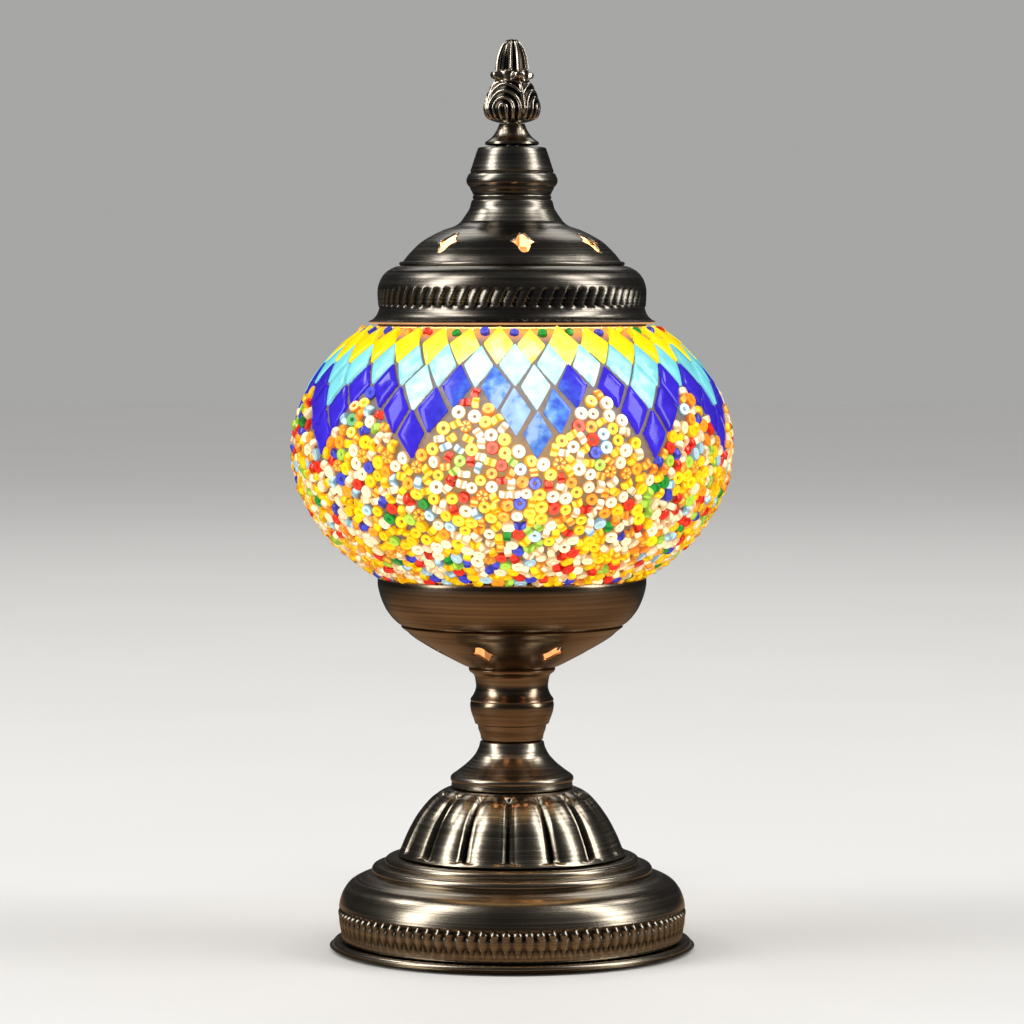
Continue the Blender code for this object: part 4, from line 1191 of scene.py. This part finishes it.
def build_rubber_and_holder():
    """Round versions of the gaskets and of the lamp holder, with the holder's ribs and threaded skirt."""
    soft = 0.18
    for node, body in (("globe_gasket", "lamp"), ("cap_gasket", "globe")):
        inner = GASKET_BORES[node]
        outer, foot, top = extent(node)
        gasket = straight(
            (inner, foot), (inner, top - soft), (inner + soft, top), (outer - soft, top),
            (outer, top - soft), (outer, foot + soft), (outer - soft, foot), (inner, foot),
        )
        lathe(node + "_ring", gasket, node, body, RUBBER, 128, 0.5)
    radius, foot, top = extent("holder_body")
    wall = [(radius - 0.8, top), (radius, top - 0.8), (radius, top - 3.0), (radius - 0.5, top - 3.6)]
    for step in range(HOLDER_RIBS):
        height = top - 5.0 - step * HOLDER_RIB_PITCH
        for inset, down in ((0.6, 0.0), (0.1, 0.5), (0.1, 1.3), (0.6, 1.8)):
            wall.append((radius - inset, height - down))
    wall += [(radius - 0.6, foot + 6.0), (radius - 0.1, foot + 5.4), (radius - 0.1, foot + 3.1)]
    bore = [
        (10.5, foot), (ROD_BORE, foot), (ROD_BORE, foot + 2.6), (9.4, foot + 4.0),
        (9.4, HOLDER_SEAT), (10.9, HOLDER_SEAT), (10.9, top), wall[0],
    ]
    lathe("holder_body_turned", straight(*wall, *bore), "holder_body", "lamp", BLACK, 96, 0.6, sharp=28)


def build_sleeves():
    """The ribbed sleeves where the cord enters the switch and the plug."""
    radius, height = 3.3, 1.2
    sleeve = [[(CORD_SLEEVE_BORE, 0.0), (4.3, 0.0)], [(4.3, 0.0), (4.1, 1.0), (radius, height)]]
    for _ in range(SLEEVE_RIBS):
        rib = [(radius, height), (radius + 0.35, height + 0.2), (radius + 0.25, height + 0.9)]
        radius, height = radius - 0.2, height + 1.1
        sleeve += straight(*rib, (radius, height))
    sleeve.append([(radius, height), (CORD_SLEEVE_BORE, height + 0.2)])
    low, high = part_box("switch_lower")
    upper_low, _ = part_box("switch_upper")
    middle = (high.z + upper_low.z) / 2
    plug_low, plug_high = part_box("plug_body")
    plug_middle = (plug_low + plug_high) / 2
    ends = {
        "switch_sleeve_lamp": ((0.0, low.y, middle), Matrix.Rotation(math.pi / 2, 4, "X")),
        "switch_sleeve_plug": ((0.0, high.y, middle), Matrix.Rotation(-math.pi / 2, 4, "X")),
        "plug_sleeve": ((plug_low.x, plug_middle.y, plug_middle.z), Matrix.Rotation(-math.pi / 2, 4, "Y")),
    }
    for name, (place, turn) in ends.items():
        ring(name, sleeve, "lamp", BLACK, "black_plastic", 32, 0.3, Matrix.Translation(place) @ turn)


# ---- Stage ----


def build_floor():
    """A pale floor. Glossy rays see a painted reflection instead: in the metal it looks like a brown
    tabletop, dark further off.
    """
    low, _ = CAD_BOUNDS
    half = FLOOR_WIDTH / 2
    corners = [(-half, -half, low.z), (half, -half, low.z), (half, half, low.z), (-half, half, low.z)]
    mesh = bpy.data.meshes.new("floor")
    mesh.from_pydata(corners, [], [(0, 1, 2, 3)])
    floor = bpy.data.objects.new("floor", mesh)
    bpy.context.scene.collection.objects.link(floor)
    look = Look("pale_floor")
    mirrored = look.node("LightPath").outputs["Is Glossy Ray"]
    shade = look.mix(look.noise(6.0, 4.0), (0.66, 0.65, 0.63), (0.70, 0.69, 0.67))
    away = look.vector("LENGTH", look.position())
    # Painted reflection: brown near the lamp, dark further off
    painted_reflection = look.mix(look.remap(away, 0.16, 0.5), (0.26, 0.150, 0.068), (0.03, 0.028, 0.025))
    look.set(Base_Color=look.mix(mirrored, shade, painted_reflection), Roughness=look.remap(shade, 0.6, 0.8, 0.66, 0.74))
    mesh.materials.append(look.material)


def build_world():
    world = bpy.data.worlds.new("studio")
    bpy.context.scene.world = world
    world.use_nodes = True
    nodes, links = world.node_tree.nodes, world.node_tree.links
    path = nodes.new("ShaderNodeLightPath")
    shade = None
    for ray, colour in (("Is Glossy Ray", MIRRORED_ROOM), ("Is Camera Ray", BACKDROP)):
        mix = nodes.new("ShaderNodeMix")
        mix.data_type = "RGBA"
        mix.inputs[6].default_value = ROOM_LIGHT
        mix.inputs[7].default_value = colour
        links.new(path.outputs[ray], mix.inputs[0])
        if shade:
            links.new(shade, mix.inputs[6])
        shade = mix.outputs[2]
    links.new(shade, nodes["Background"].inputs["Color"])
    bpy.context.scene.view_settings.view_transform = "Standard"


def placed(name, data, place, aim):
    """An object of the stage at a place, turned to look at another."""
    obj = bpy.data.objects.new(name, data)
    obj.location = place
    obj.rotation_euler = (Vector(aim) - obj.location).to_track_quat("-Z", "Y").to_euler()
    bpy.context.scene.collection.objects.link(obj)
    return obj


def build_lights():
    _, high = CAD_BOUNDS
    for name, (azimuth, power, width, tall, height) in SOFTBOXES.items():
        light = bpy.data.lights.new(name, "AREA")
        light.shape = "RECTANGLE"
        light.size = width
        light.size_y = tall
        light.energy = power
        turn = math.radians(azimuth)
        place = (SOFTBOX_DISTANCE * math.sin(turn), -SOFTBOX_DISTANCE * math.cos(turn), height)
        placed(name, light, place, (0, 0, high.z / 2))

    glow = bpy.data.lights.new("bulb_light", "POINT")
    glow.energy = BULB_WATTS
    glow.color = BULB_COLOUR
    glow.shadow_soft_size = BULB_LIGHT_RADIUS
    _, bulb_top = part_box("bulb_envelope")
    placed("bulb_light", glow, (0, 0, bulb_top.z + BULB_LIGHT_RISE), (0, 0, 0))


def build_camera():
    data = bpy.data.cameras.new("camera")
    data.lens = CAMERA_LENS
    bpy.context.scene.camera = placed("camera", data, CAMERA_PLACE, CAMERA_AIM)


build_cap()
build_cup_and_stem()
build_base()
build_glass()
build_tiles()
build_beads()
build_bulb()
build_rubber_and_holder()
build_sleeves()
dress_cad_nodes()
build_floor()
build_world()
build_lights()
build_camera()
